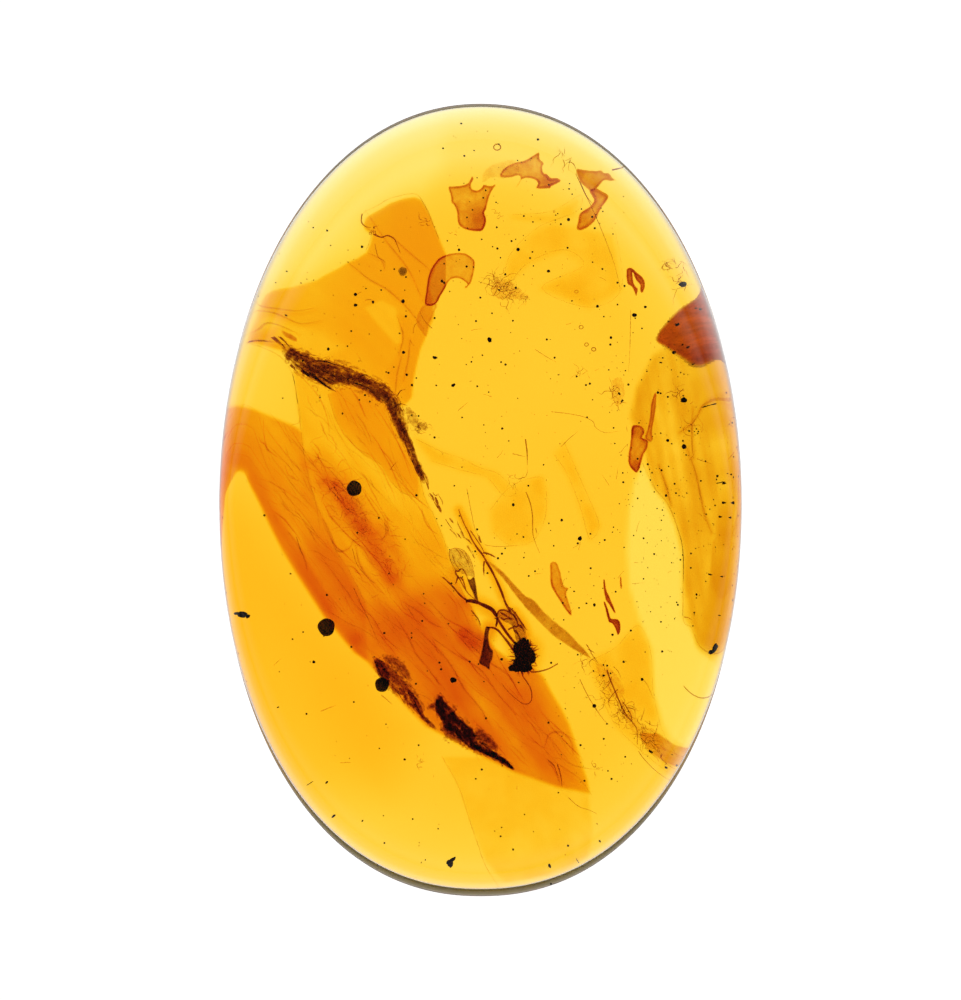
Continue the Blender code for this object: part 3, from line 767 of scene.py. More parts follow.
RIGHT_ZONE = (
    (5.2, 1.3), (5.4, 0.45), (5.83, -0.1), (6.13, -0.83), (6.32, -1.7), (6.32, -3.66), (6.6, -4.0),
    (6.9, -4.75), (7.2, -5.6), (7.35, -6.1), (8.8, -5.0), (9.0, 4.2), (7.6, 4.2), (6.9, 4.3),
    (5.9, 4.9), (5.4, 4.5), (4.9, 3.5), (4.7, 2.6),
)
RIGHT_EDGE = (
    (8.6, 1.4), (7.9, 0.9), (7.75, 0.0), (7.55, -1.0), (7.4, -2.0), (7.2, -2.9), (7.1, -3.8),
    (7.0, -4.9), (7.35, -6.0), (8.8, -4.6),
)
RIGHT_LINES = (
    ((6.45, 1.6), (6.7, 0.9), (6.85, 0.2), (7.0, -0.45), (7.25, -1.05)),
    ((5.55, 1.1), (5.8, 0.4), (5.95, -0.2)),
    ((6.65, 2.9), (6.6, 2.0), (6.65, 1.3)),
    ((7.5, 3.9), (7.1, 3.2), (6.7, 2.5), (6.2, 2.1)),
    ((7.35, -1.3), (7.3, -2.4), (7.4, -3.4), (7.3, -4.4)),
    ((7.9, -0.6), (7.65, -1.8), (7.6, -3.0)),
)

LOWER_LOBE = (
    (-1.2, -8.0), (-0.7, -8.9), (-0.4, -9.8), (-0.1, -10.7), (0.2, -11.3), (0.8, -11.9),
    (2.6, -11.6), (3.3, -11.1), (3.5, -10.2), (3.4, -9.1), (1.7, -8.6), (0.3, -8.0),
)
CENTRE_VEILS = (
    ((-2.0, 1.9), (-1.2, 1.5), (-0.6, 1.3), (0.0, 1.0), (0.5, 0.85), (0.9, 0.5), (1.1, 0.2),
     (0.7, 0.15), (0.2, 0.7), (-0.5, 0.9), (-1.5, 1.2)),
    ((0.3, -0.3), (0.8, 0.3), (1.3, 0.6), (1.9, 0.7), (2.05, 0.2), (2.0, -0.6), (1.6, -1.3),
     (0.9, -1.4), (0.4, -1.0)),
    ((2.6, 1.8), (3.0, 0.9), (3.4, 0.0), (3.7, -0.8), (3.4, -1.2), (3.1, -0.2), (2.7, 0.8),
     (2.3, 1.4)),
    ((3.4, -5.0), (4.2, -4.6), (4.9, -3.9), (5.3, -4.7), (5.4, -6.1), (5.8, -7.7), (6.0, -8.6),
     (5.0, -7.8), (4.2, -7.0), (3.7, -6.0)),
    ((1.0, 8.9), (2.2, 9.0), (3.1, 9.5), (3.0, 9.0), (1.8, 8.5), (0.9, 7.6), (0.8, 6.7),
     (1.5, 7.4), (2.6, 7.8), (3.2, 7.3), (1.9, 6.6), (3.4, 6.0), (4.4, 6.6), (4.2, 8.4)),
)


LEFT_FOOT = (
    (-8.5, 0.5), (-7.0, -0.8), (-5.2, -3.2), (-3.2, -5.4), (-2.0, -7.2), (-3.0, -9.0), (-5.5, -9.0),
    (-8.5, -6.0),
)
INSECT_HALO = (
    (((-0.68, -0.31), (-0.21, -1.28), (0.15, -1.82), (0.6, -2.77), (0.81, -3.31)), 0.5, 0.4),
    (((-0.48, -3.15), (-0.07, -3.22), (0.47, -3.56), (0.7, -3.9), (1.1, -4.5)), 0.8, 0.5),
    (((0.5, -3.6), (0.9, -3.55), (1.15, -3.8), (1.35, -4.2)), 0.8, 0.7),
    (((0.3, -4.0), (0.1, -4.3), (-0.2, -4.4), (-0.5, -4.2)), 0.9, 0.8),
    (((0.2, -4.5), (0.15, -5.1)), 0.6, 0.5),
    (((1.3, -5.1), (1.4, -4.7)), 1.5, 0.7),
    (((-0.77, -2.2), (-0.5, -2.6), (-0.2, -3.0)), 0.6, 0.35),
    (((0.52, -0.9), (0.9, -0.6), (1.1, -0.1)), 0.4, 0.2),
)


def body_tint(x, y):
    """The honey yellow that most of the stone has, and its pale places."""
    thinner = np.maximum(HEIGHT - stone_top(x, y), 0)
    depth = 2.2 * (1 + 0.16 * cloud(x, y, 4.0, 11)) + 0.6 * thinner
    depth += patch(x, y, LEFT_FOOT, 2.5, 1.7)
    depth *= 1 - patch(x, y, CLEAR_WINDOW, 0.22, 0.93)
    depth *= 1 - patch(x, y, PALE_WEDGE, 0.5, 0.15)
    depth *= 1 - patch(x, y, PALE_SHOULDER, 0.9, 0.6)
    share = np.hypot(x / WIDTH, y / LENGTH) * 2
    headward = np.maximum(np.sin(np.arctan2(y, x)), 0)
    depth *= 1 - 0.85 * ease((share - 0.66) / 0.33) * headward
    footward = np.maximum(-np.sin(np.arctan2(y, x)), 0) ** 2
    depth *= 1 - 0.5 * ease((share - 0.7) / 0.28) * footward
    depth *= 1 - 0.3 * ease((share - 0.96) / 0.04)
    return np.where(share < 1.1, depth, 0)


def edge_fade(x, y):
    """1 over the stone and 0 along its edge, for the darker sheets."""
    return 1 - ease((stone_share(x, y) - 0.95) / 0.035)


def veil_tint(x, y):
    """The folded sheet of darker resin at the upper left."""
    sheet = patch(x, y, UPPER_VEIL, 0.09) * edge_fade(x, y)
    depth = 0.4 + patch(x, y, VEIL_FOLD, 0.1, 0.16) + patch(x, y, VEIL_MIDDLE, 0.12, 0.12)
    depth += patch(x, y, VEIL_TAIL, 0.2, 0.12) - patch(x, y, VEIL_GAP, 0.14, 0.22)
    depth -= patch(x, y, VEIL_PALE_STREAK, 0.5, 0.2)
    for line in VEIL_LINES:
        depth += stroke(x, y, line, 0.16, 0.12)
    depth += 0.10 * cloud(x, y, 1.3, 21) + 0.05 * streaks(x, y, -45, 3.0, 0.3, 22)
    return sheet * np.maximum(depth, 0.05)


def band_tint(x, y):
    """The deep orange flow that crosses the stone, streaked along its run."""
    outline = BAND_LOWER + BAND_TIP + BAND_UPPER + BAND_LEFT
    sheet = patch(x, y, outline, 0.16) * edge_fade(x, y)
    left_lobe = BAND_LOWER[:13] + LEFT_LOBE_EDGE[::-1] + BAND_LEFT
    depth = 0.24 + patch(x, y, left_lobe, 0.2, 0.42) + patch(x, y, BELOW_TWIG, 0.12, 0.32)
    depth += patch(x, y, BAND_HEART, 1.4, 0.48)
    depth += patch(x, y, DEEP_END, 1.6, 1.05)
    depth += stroke(x, y, EDGE_STREAK, 0.7, 0.5) + stroke(x, y, RED_CLOUD, 1.5, 0.35)
    grain = streaks(x, y, -55, 5.0, 0.45, 31)
    lumps = cloud(x, y, 1.1, 33)
    depth *= 1 + 0.5 * grain + 0.35 * lumps
    depth += stroke(x, y, RED_CLOUD, 1.3, 0.9) * np.maximum(cloud(x, y, 0.5, 34) + 0.1, 0)
    for line in BAND_STREAKS:
        depth += stroke(x, y, line, 0.15, 0.16)
    return sheet * np.maximum(depth, 0.06)


def right_tint(x, y):
    """Amber-brown streaks along the right edge."""
    sheet = patch(x, y, RIGHT_ZONE, 0.3) * edge_fade(x, y)
    depth = 0.24 + patch(x, y, RIGHT_EDGE, 0.5, 0.4)
    depth += 0.3 * streaks(x, y, -80, 4.0, 0.35, 41) + 0.16 * cloud(x, y, 0.8, 42)
    for line in RIGHT_LINES:
        depth += stroke(x, y, line, 0.2, 0.2)
    return sheet * np.maximum(depth, 0.03)


def faint_tint(x, y):
    """Faint veils in the middle and the slightly deeper lobe at the foot."""
    depth = patch(x, y, LOWER_LOBE, 0.12, 0.12)
    for outline in CENTRE_VEILS:
        depth = np.maximum(depth, patch(x, y, outline, 0.35, 0.17))
    depth *= 1 + 0.9 * cloud(x, y, 0.6, 51)
    for line, width, amount in INSECT_HALO:
        halo = stroke(x, y, line, width, amount) * (1 + 0.5 * cloud(x, y, 0.3, 52))
        depth = np.maximum(depth, halo)
    return depth


def make_tints():
    """The stone's colour: clear bodies that only absorb, one for each flow."""
    yellow = tint_material("honey_resin", (0.991, 0.827, 0.0), 577)
    orange = tint_material("orange_resin", (0.968, 0.846, 0.0), 6500)
    brown = tint_material("brown_resin", (0.93, 0.82, 0.15), 7500)
    lens("tint_honey", yellow, ((-8.3, -12.6), (8.3, 12.6)), 0.13, body_tint,
         lambda x, y: np.full(x.shape, 2.3))
    lens("tint_veil", orange, ((-8.0, 2.8), (-0.9, 9.7)), 0.06, veil_tint,
         lambda x, y: 2.6 - 0.12 * x)
    lens("tint_band", orange, ((-8.1, -9.4), (3.6, 4.4)), 0.055, band_tint,
         lambda x, y: 2.0 + 0.1 * cloud(x, y, 3, 61))
    lens("tint_right", brown, ((4.4, -6.6), (8.2, 5.2)), 0.06, right_tint,
         lambda x, y: np.full(x.shape, 2.2))
    lens("tint_faint", orange, ((-2.4, -12.2), (6.4, 9.7)), 0.09, faint_tint,
         lambda x, y: np.full(x.shape, 3.0))


# ---- sealed pieces ----

def raised(line, level, steps=6):
    """A smooth line at a level; a third number in a point is its own level."""
    points = [(*point[:2], point[2] if len(point) > 2 else level) for point in line]
    return smooth_line(points, steps)


def swelling(path, radius, first, last):
    """Radii that swell from a line's ends to its middle, like the sine from first to last."""
    return radius * np.sin(math.pi * np.linspace(first, last, len(path)))


def smooth_widths(widths, steps):
    """A short list of widths with smooth steps between."""
    return smooth_line([(width, 0) for width in widths], steps)[:, 0]


def tapered(count, thick, thin, hold=0.6):
    """Radii that hold one value along a share of a line and then narrow."""
    place = np.linspace(0, 1, count)
    return thick + (thin - thick) * ease((place - hold) / (1 - hold))


ANTENNA_RIGHT = (
    (1.45, -5.2, 2.05), (1.52, -5.3, 2.07), (1.62, -5.36, 2.1), (1.85, -5.34, 2.1),
    (2.1, -5.27, 2.1), (2.28, -5.18, 2.05), (2.41, -5.1, 2.0),
)
ANTENNA_LEFT = (
    (1.27, -5.3, 2.05), (1.32, -5.5, 2.08), (1.45, -5.68, 2.1), (1.56, -5.88, 2.12),
    (1.6, -6.1, 2.15), (1.57, -6.27, 2.15), (1.46, -6.36, 2.12), (1.3, -6.34, 2.1),
    (1.1, -6.2, 2.07), (0.9, -6.02, 2.05), (0.75, -5.85, 2.02), (0.65, -5.7, 2.0),
)
FORE_THIGH = (
    (1.15, -4.55, 2.1), (0.97, -4.34, 2.15), (0.8, -4.12, 2.2), (0.63, -3.86, 2.25),
    (0.5, -3.62, 2.28),
)
FORE_SHANK = (
    (0.5, -3.62, 2.28), (0.36, -3.42, 2.3), (0.1, -3.28, 2.3), (-0.14, -3.18, 2.28),
    (-0.34, -3.14, 2.24), (-0.45, -3.17, 2.2),
)
FORE_FOOT = (
    (-0.4, -3.14, 2.22), (-0.6, -3.0, 2.18), (-0.85, -2.72, 2.1), (-1.03, -2.54, 2.0),
    (-1.19, -2.4, 1.95),
)
MIDDLE_LEG = (
    (1.1, -4.8, 2.05), (0.98, -4.62, 2.0), (0.84, -4.42, 1.93), (0.68, -4.22, 1.88),
    (0.55, -4.07, 1.86), (0.4, -3.99, 1.84), (0.2, -3.98, 1.8),
)
LINK_LEG = ((0.5, -3.62, 2.27), (0.52, -3.78, 2.1), (0.48, -3.95, 1.9))
SHORT_LEG = ((-0.29, -3.44, 2.0), (-0.17, -3.58, 1.95), (-0.06, -3.74, 1.9), (0.0, -3.92, 1.88))
SHORT_SPUR = ((-0.3, -3.6, 1.97), (-0.2, -3.6, 1.95), (-0.13, -3.63, 1.93))
HIND_LEG = (
    (0.95, -3.5, 2.1), (0.84, -3.32, 2.08), (0.77, -3.18, 2.05), (0.66, -2.87, 2.02),
    (0.5, -2.5, 1.98), (0.35, -2.2, 1.95), (0.2, -1.95, 1.92), (0.08, -1.73, 1.9),
    (-0.1, -1.5, 1.9), (-0.26, -1.25, 1.92), (-0.38, -1.0, 1.95), (-0.52, -0.73, 1.98),
    (-0.62, -0.48, 2.0), (-0.68, -0.3, 2.05),
)
HIND_BRANCH = ((0.08, -1.64, 1.9), (0.28, -1.69, 1.9), (0.47, -1.79, 1.88))
HIND_STUB = ((0.12, -1.9, 1.9), (0.1, -2.1, 1.88), (0.11, -2.36, 1.86))
LOOSE_LEG = ((-0.32, -0.95, 2.0), (-0.18, -1.15, 1.98), (0.0, -1.42, 1.95), (0.14, -1.68, 1.92))
ABDOMEN_LINES = (
    ((0.5, -3.62), (0.58, -3.46), (0.72, -3.43), (0.9, -3.5), (1.05, -3.62), (1.1, -3.75)),
    ((0.62, -3.5), (0.78, -3.6), (0.92, -3.68), (1.06, -3.71)),
    ((0.64, -3.66), (0.72, -3.72), (0.86, -3.7), (1.0, -3.75)),
    ((0.8, -3.3), (0.98, -3.42), (1.12, -3.58), (1.24, -3.76), (1.36, -3.94), (1.46, -4.06)),
    ((1.02, -3.55), (1.12, -3.72), (1.18, -3.9), (1.3, -4.0)),
    ((1.0, -3.92), (1.12, -3.95), (1.22, -3.9), (1.3, -3.98), (1.34, -4.1)),
    ((0.86, -4.05), (1.0, -3.98), (1.08, -4.1), (1.2, -4.2)),
    ((1.1, -4.05), (1.2, -4.25), (1.3, -4.45)),
)
ABDOMEN_SKIN = (
    (0.5, -3.6), (0.62, -3.42), (0.85, -3.4), (1.05, -3.5), (1.2, -3.68), (1.36, -3.9),
    (1.42, -4.15), (1.4, -4.45), (1.15, -4.45), (1.05, -4.15), (0.95, -3.9), (0.7, -3.78),
)
WING_RIM = (
    (-0.78, -2.2), (-0.86, -2.05), (-0.95, -1.85), (-0.98, -1.62), (-0.9, -1.53),
    (-0.75, -1.5), (-0.55, -1.56), (-0.4, -1.7), (-0.29, -1.9), (-0.22, -2.15), (-0.2, -2.42),
)
WING_VEINS = (
    ((-0.78, -1.52), (-0.68, -1.62), (-0.62, -1.74), (-0.6, -1.83)),
    ((-0.66, -1.56), (-0.56, -1.64), (-0.54, -1.75)),
    ((-0.52, -1.72), (-0.43, -1.88), (-0.37, -2.02), (-0.34, -2.12)),
    ((-0.48, -1.64), (-0.4, -1.8), (-0.36, -1.95)),
    ((-0.88, -1.72), (-0.8, -1.95), (-0.7, -2.12), (-0.62, -2.16)),
    ((-0.74, -1.9), (-0.64, -2.0), (-0.55, -2.1)),
)
WING_ROOT_LINES = (
    ((-0.8, -2.2), (-0.7, -2.22), (-0.62, -2.16), (-0.55, -2.16), (-0.47, -2.28), (-0.4, -2.45)),
    ((-0.79, -2.2), (-0.76, -2.32), (-0.68, -2.42), (-0.6, -2.56), (-0.5, -2.74), (-0.36, -2.94),
     (-0.16, -3.1)),
    ((-0.7, -2.36), (-0.74, -2.5), (-0.77, -2.62)),
    ((-0.64, -2.4), (-0.56, -2.48), (-0.5, -2.64), (-0.46, -2.78)),
)
WING_WEDGE = (
    (-0.42, -2.44), (-0.33, -2.48), (-0.25, -2.41), (-0.18, -2.44), (-0.13, -2.7), (-0.1, -2.92),
    (-0.07, -3.14), (-0.17, -3.1), (-0.24, -2.9), (-0.34, -2.7),
)
FOLDED_WING = (
    (0.16, -3.96), (0.3, -3.97), (0.25, -4.2), (0.26, -4.4), (0.31, -4.6), (0.4, -4.72),
    (0.38, -4.95), (0.3, -5.12), (0.28, -5.3), (0.14, -5.2), (-0.05, -5.1), (0.0, -4.86),
    (0.07, -4.55), (0.1, -4.25),
)


# Each limb: its line, thickness at its root and tip, sides, segments, bristles, seed and the share
# of it that keeps the root's thickness.
LIMBS = (
    (ANTENNA_RIGHT, 0.03, 0.02, 8, 13, 26, 72, 0.2),
    (ANTENNA_LEFT, 0.024, 0.012, 8, 22, 40, 73, 0.1),
    (FORE_THIGH, 0.046, 0.044, 10, 1, 12, 74), (FORE_SHANK, 0.068, 0.05, 10, 2, 40, 75),
    (FORE_FOOT, 0.034, 0.026, 8, 5, 24, 76, 0.3), (MIDDLE_LEG, 0.042, 0.032, 10, 2, 24, 77),
    (LINK_LEG, 0.04, 0.03, 8, 1, 8, 78), (SHORT_LEG, 0.024, 0.016, 8, 3, 8, 79),
    (SHORT_SPUR, 0.012, 0.006, 6, 1, 2, 80), (HIND_LEG, 0.042, 0.018, 8, 6, 60, 81, 0.35),
    (HIND_BRANCH, 0.032, 0.018, 8, 2, 8, 82), (HIND_STUB, 0.03, 0.014, 8, 2, 6, 83),
    (LOOSE_LEG, 0.02, 0.012, 8, 3, 16, 84),
)


def add_limb(shapes, line, thick, thin, sides, segments, bristles, seed, hold=0.6):
    """A jointed limb: swollen segments along its line, and short bristles on them."""
    path = raised(line, 2.0, 7)
    radii = tapered(len(path), thick, thin, hold)
    place = np.linspace(0, 1, len(path))
    radii = radii * (1 - 0.22 * np.abs(np.cos(math.pi * segments * place)) ** 6)
    shapes.tube(path, radii, sides)
    chance = random.Random(seed)
    for _ in range(bristles):
        index = chance.randrange(1, len(path) - 1)
        angle = chance.uniform(0, 2 * math.pi)
        ahead = path[index + 1] - path[index - 1]
        ahead = ahead / max(np.linalg.norm(ahead), 1e-9)
        out = np.array([math.cos(angle), math.sin(angle), chance.uniform(-0.3, 0.3)])
        tip = path[index] + (0.8 * ahead + out) * chance.uniform(1.0, 1.9) * thick
        shapes.tube(np.array([path[index], (path[index] + tip) / 2, tip]), [0.006, 0.005, 0.002], 4)


def make_insect(body_material, limb_material, wing_material):
    """The gnat: its lumpy body, the fringe and limbs on it, and its wings and abdomen skin."""
    body = Shapes()
    body.ball((1.37, -4.9, 2.08), (0.6, 0.78, 0.54), 0.3, 3, 18, 26, -8)
    body.ball((1.3, -4.62, 2.12), (0.5, 0.52, 0.42), 0.4, 4, 14, 22, 10)
    body.ball((1.3, -5.17, 2.06), (0.6, 0.4, 0.38), 0.4, 5, 14, 22)
    body.ball((1.06, -5.23, 2.02), (0.36, 0.26, 0.26), 0.45, 6, 10, 16, 15)
    body.ball((1.57, -4.93, 2.04), (0.34, 0.34, 0.28), 0.25, 7, 10, 16)
    body.ball((1.14, -5.0, 2.22), (0.16, 0.2, 0.14), 0.15, 8, 8, 12)
    body.ball((1.5, -5.12, 2.2), (0.16, 0.2, 0.14), 0.15, 9, 8, 12)
    body.tube(raised(((1.16, -4.62, 2.15), (1.11, -4.5, 2.16), (1.07, -4.42, 2.16)), 2), 0.045, 8)
    body.tube(raised(((1.42, -4.6, 2.15), (1.46, -4.47, 2.17), (1.48, -4.34, 2.18)), 2),
              [0.06] * 7 + [0.055, 0.05, 0.045, 0.04, 0.03, 0.02], 8)
    chance = random.Random(71)
    for _ in range(70):
        angle = chance.uniform(0, 2 * math.pi)
        start = np.array([1.35 + 0.27 * math.cos(angle), -4.88 + 0.4 * math.sin(angle),
                          2.1 + chance.uniform(-0.1, 0.15)])
        out = np.array([math.cos(angle + 0.3), math.sin(angle + 0.3), chance.uniform(-0.4, 0.6)])
        tip = start + out * chance.uniform(0.05, 0.13)
        body.tube(np.array([start, (start + tip) / 2, tip]), [0.008, 0.006, 0.002], 4)
    body_count = len(body.faces)
    for _ in range(60):
        angle = chance.uniform(0, 2 * math.pi)
        reach = np.array([math.cos(angle), math.sin(angle), 0])
        start = np.array([1.35, -4.9, 2.1]) + reach * (0.3, 0.46, 0)
        turn = angle + chance.uniform(-0.9, 0.9)
        tip = start + np.array([math.cos(turn), math.sin(turn), 0]) * chance.uniform(0.08, 0.26)
        sway = np.array([chance.uniform(-0.03, 0.03), chance.uniform(-0.03, 0.03), 0])
        bend = (start + tip) / 2 + sway
        body.tube(smooth_line([start, bend, tip], 3),
                  tapered(7, chance.uniform(0.016, 0.034), 0.006, 0.3), 6)
    for line, *build in LIMBS:
        add_limb(body, line, *build)
    for index, line in enumerate(ABDOMEN_LINES):
        add_limb(body, [(x, y, 2.12 + 0.03 * (index % 3)) for x, y in line], 0.03, 0.014, 8, 2, 7,
                 90 + index)
    for index, line in enumerate(WING_ROOT_LINES):
        add_limb(body, [(x, y, 2.05) for x, y in line], 0.03, 0.016, 8, 2, 8, 100 + index, 0.3)
    insect = body.piece("insect", body_material, "insect", ("insect",))
    insect.data.materials.append(limb_material)
    for polygon in insect.data.polygons[body_count:]:
        polygon.material_index = 1

    wing = Shapes()
    for line in (WING_RIM,) + WING_VEINS:
        path = raised(line, 2.0)
        wing.tube(path, tapered(len(path), 0.013, 0.007, 0.3), 6)
    wing.piece("insect_wing_veins", limb_material, "insect")
    plates = (("insect_wing", WING_RIM, 1.99, 0.012, 0.25),
              ("insect_wedge", WING_WEDGE, 2.03, 0.12, 0.06),
              ("insect_folded_wing", FOLDED_WING, 1.8, 0.14, 0.08),
              ("insect_abdomen_skin", ABDOMEN_SKIN, 2.12, 0.035, 0.12))
    for name, outline, level, thick, edge in plates:
        add_film(name, wing_material, "insect", outline, level, thick, 1.3, edge, 0.014, 200)


def add_film(name, material, slot, outline, level, thick, rim, edge, cell, seed, replaced=(),
             extra=None):
    """A thin sheet with a thicker rim, uneven in thickness and gently buckled."""
    smooth = smooth_line(outline, 3, closed=True)

    def thickness(x, y):
        inside = inside_distance(x, y, smooth)
        inside = inside + 0.012 * cloud(x, y, 0.12, seed)
        sheet = thick * (1 + 0.45 * cloud(x, y, 0.35, seed + 1) + 0.4 * cloud(x, y, 0.1, seed + 2))
        band = 1 + (rim - 1) * np.exp(-((inside - 0.03) / (edge * 0.6)) ** 2)
        if extra is not None:
            sheet = sheet + extra(x, y)
        return ease(inside / min(edge, 0.035)) * np.maximum(sheet, 0.004) * band

    def heights(x, y):
        return level + 0.03 * cloud(x, y, 0.5, seed + 3)

    lens(name, material, box_of(smooth, 0.04), cell, thickness, heights, replaced)


SHIELD = (
    (-1.02, 9.81), (-0.85, 9.82), (-0.6, 9.85), (-0.4, 9.93), (-0.3, 10.1), (-0.25, 10.15),
    (-0.22, 10.05), (-0.3, 9.85), (-0.25, 9.73), (-0.1, 9.69), (0.03, 9.78), (0.1, 9.87),
    (0.3, 9.83), (0.48, 9.88), (0.35, 9.65), (0.25, 9.4), (0.18, 9.1), (0.12, 8.97),
    (0.18, 8.75), (0.15, 8.55), (0.05, 8.4), (-0.1, 8.38), (-0.3, 8.4), (-0.5, 8.45),
    (-0.65, 8.55), (-0.72, 8.7), (-0.75, 9.0), (-0.82, 9.2), (-0.92, 9.3), (-0.93, 9.5),
)
CREST = (
    (0.6, 10.12), (0.75, 10.4), (1.1, 10.6), (1.35, 10.65), (1.6, 10.8), (1.85, 10.95),
    (1.87, 10.75), (2.0, 10.6), (1.95, 10.45), (1.98, 10.25), (2.08, 10.2), (2.2, 10.07),
    (2.4, 10.08), (2.52, 10.0), (2.4, 9.9), (2.2, 9.8), (2.2, 9.75), (1.75, 9.73), (1.8, 9.9),
    (1.7, 10.02), (1.5, 10.07), (1.3, 10.02), (1.2, 9.85), (1.1, 9.78), (1.24, 10.0),
    (1.2, 10.15), (0.9, 10.08),
)
CREST_VEIL = (
    (0.05, 9.95), (0.1, 10.26), (0.35, 10.5), (0.7, 10.62), (1.1, 10.66), (1.2, 10.3),
    (0.8, 10.05), (0.4, 10.1), (0.2, 9.98),
)
CORNER_UPPER = (
    (3.0, 10.35), (3.2, 10.33), (3.6, 10.28), (3.75, 10.3), (3.85, 10.22), (4.0, 10.2),
    (4.1, 10.05), (4.23, 9.98), (4.05, 9.95), (3.85, 9.97), (3.7, 9.8), (3.5, 9.66),
    (3.35, 9.75), (3.2, 9.9), (3.1, 10.05),
)
CORNER_LOWER = (
    (3.4, 9.68), (3.6, 9.75), (3.8, 9.65), (4.0, 9.5), (3.95, 9.35), (3.8, 9.15), (3.7, 8.95),
    (3.6, 8.75), (3.4, 8.55), (3.15, 8.43), (3.0, 8.48), (3.05, 8.7), (3.1, 8.95), (3.3, 9.1),
    (3.45, 9.2), (3.55, 9.4),
)
HOOK = (
    (-1.75, 6.15), (-1.7, 6.5), (-1.65, 6.9), (-1.55, 7.2), (-1.35, 7.5), (-1.1, 7.65),
    (-0.75, 7.72), (-0.45, 7.68), (-0.22, 7.52), (-0.17, 7.35), (-0.22, 7.0), (-0.3, 6.75),
    (-0.45, 6.6), (-0.5, 6.65), (-0.42, 6.72), (-0.55, 6.85), (-0.75, 6.92), (-0.95, 6.85),
    (-1.1, 6.6), (-1.25, 6.35), (-1.35, 6.15), (-1.5, 6.05), (-1.65, 6.05),
)
HOOK_FOLD = ((-1.9, 5.9), (-1.9, 7.8), (-1.08, 7.8), (-1.08, 6.5), (-1.3, 5.9))
HOOK_TAIL = (
    (-1.75, 6.1), (-1.35, 6.12), (-1.45, 5.8), (-1.6, 5.45), (-1.68, 5.1), (-1.85, 5.25),
    (-2.0, 5.5), (-1.95, 5.8),
)
LEAFY_HEAD = (
    (4.72, 2.3), (4.9, 2.34), (5.06, 2.28), (5.12, 2.1), (5.05, 1.95), (5.22, 1.85), (5.2, 1.6),
    (5.08, 1.4), (5.0, 1.1), (4.88, 0.84), (4.72, 0.95), (4.6, 1.2), (4.63, 1.55), (4.68, 1.9),
)
LEAFY_STEM = (
    (5.12, 1.95), (5.2, 2.2), (5.28, 2.6), (5.32, 3.0), (5.42, 3.32), (5.5, 3.3), (5.48, 2.9),
    (5.42, 2.5), (5.36, 2.15), (5.38, 1.9), (5.28, 1.8),
)
DROP = (
    (2.17, -1.98), (2.3, -1.93), (2.4, -2.0), (2.5, -2.25), (2.55, -2.5), (2.62, -2.7),
    (2.75, -2.75), (2.68, -2.9), (2.73, -3.1), (2.83, -3.4), (2.84, -3.6), (2.75, -3.55),
    (2.6, -3.35), (2.45, -3.1), (2.25, -2.8), (2.18, -2.6), (2.17, -2.3),
)
RED_LOOP = (
    (4.57, 7.22), (4.72, 7.25), (4.86, 7.13), (5.05, 6.97), (5.14, 6.81), (5.14, 6.62),
    (5.05, 6.46), (4.98, 6.56), (4.98, 6.72), (4.86, 6.87), (4.76, 7.1), (4.79, 6.75),
    (4.92, 6.59), (4.89, 6.43), (4.86, 6.37), (4.73, 6.65), (4.59, 6.75), (4.56, 7.0),
)
SLIVER_LONG = (
    (3.83, -2.5), (3.88, -2.48), (3.92, -2.75), (4.02, -3.0), (4.15, -3.3), (4.22, -3.52),
    (4.16, -3.5), (4.02, -3.28), (3.9, -3.1), (3.84, -2.8),
)
SLIVER_LOW = (
    (3.84, -3.2), (3.9, -3.2), (4.0, -3.45), (4.06, -3.68), (4.26, -3.7), (4.36, -3.82),
    (4.36, -4.1), (4.28, -4.22), (4.2, -4.0), (4.1, -3.85), (4.0, -3.8), (3.94, -3.6),
)
SLIVER_SMALL = ((4.35, -2.4), (4.4, -2.42), (4.42, -2.7), (4.38, -2.78), (4.35, -2.6))
STAINS = (
    ((0.4, 6.75), (0.62, 6.9), (0.95, 6.8), (1.15, 6.6), (1.5, 6.35), (1.25, 6.25), (0.95, 6.25),
     (0.6, 6.25), (0.35, 6.45)),
    ((4.3, -6.2), (4.7, -6.5), (5.0, -7.0), (5.5, -7.2), (5.6, -7.7), (5.1, -7.6), (4.6, -7.0)),
    ((3.6, -5.1), (4.1, -5.3), (4.5, -5.9), (4.3, -6.2), (3.9, -5.8)),
    ((4.1, 3.7), (4.4, 3.8), (4.5, 3.3), (4.3, 2.9), (4.1, 3.2)),
    ((-4.7, 0.6), (-4.2, 0.4), (-3.7, -0.2), (-3.5, -0.9), (-3.9, -1.0), (-4.3, -0.3)),
    ((-0.7, -4.0), (-0.2, -4.1), (0.2, -4.4), (0.1, -4.8), (-0.4, -4.6)),
)
RIBBON = (
    (0.2, -1.9), (0.55, -2.1), (0.85, -2.4), (1.12, -2.7), (1.42, -3.0), (1.66, -3.12),
    (2.06, -3.56), (2.46, -3.9), (2.75, -4.14), (3.02, -4.44), (3.28, -4.7), (3.46, -4.95),
    (3.22, -4.84), (2.94, -4.68), (2.6, -4.46), (2.28, -4.24), (1.9, -3.88), (1.54, -3.5),
    (1.2, -3.12), (0.92, -2.74), (0.66, -2.4), (0.42, -2.15),
)
PATCH = ((5.0, -7.3), (5.4, -7.3), (5.7, -7.4), (5.84, -8.2), (5.5, -8.04), (5.25, -7.8))
REDDISH = ((-6.14, 5.25), (-5.95, 5.2), (-5.74, 5.05), (-5.76, 4.95), (-5.95, 5.02), (-6.1, 5.1))


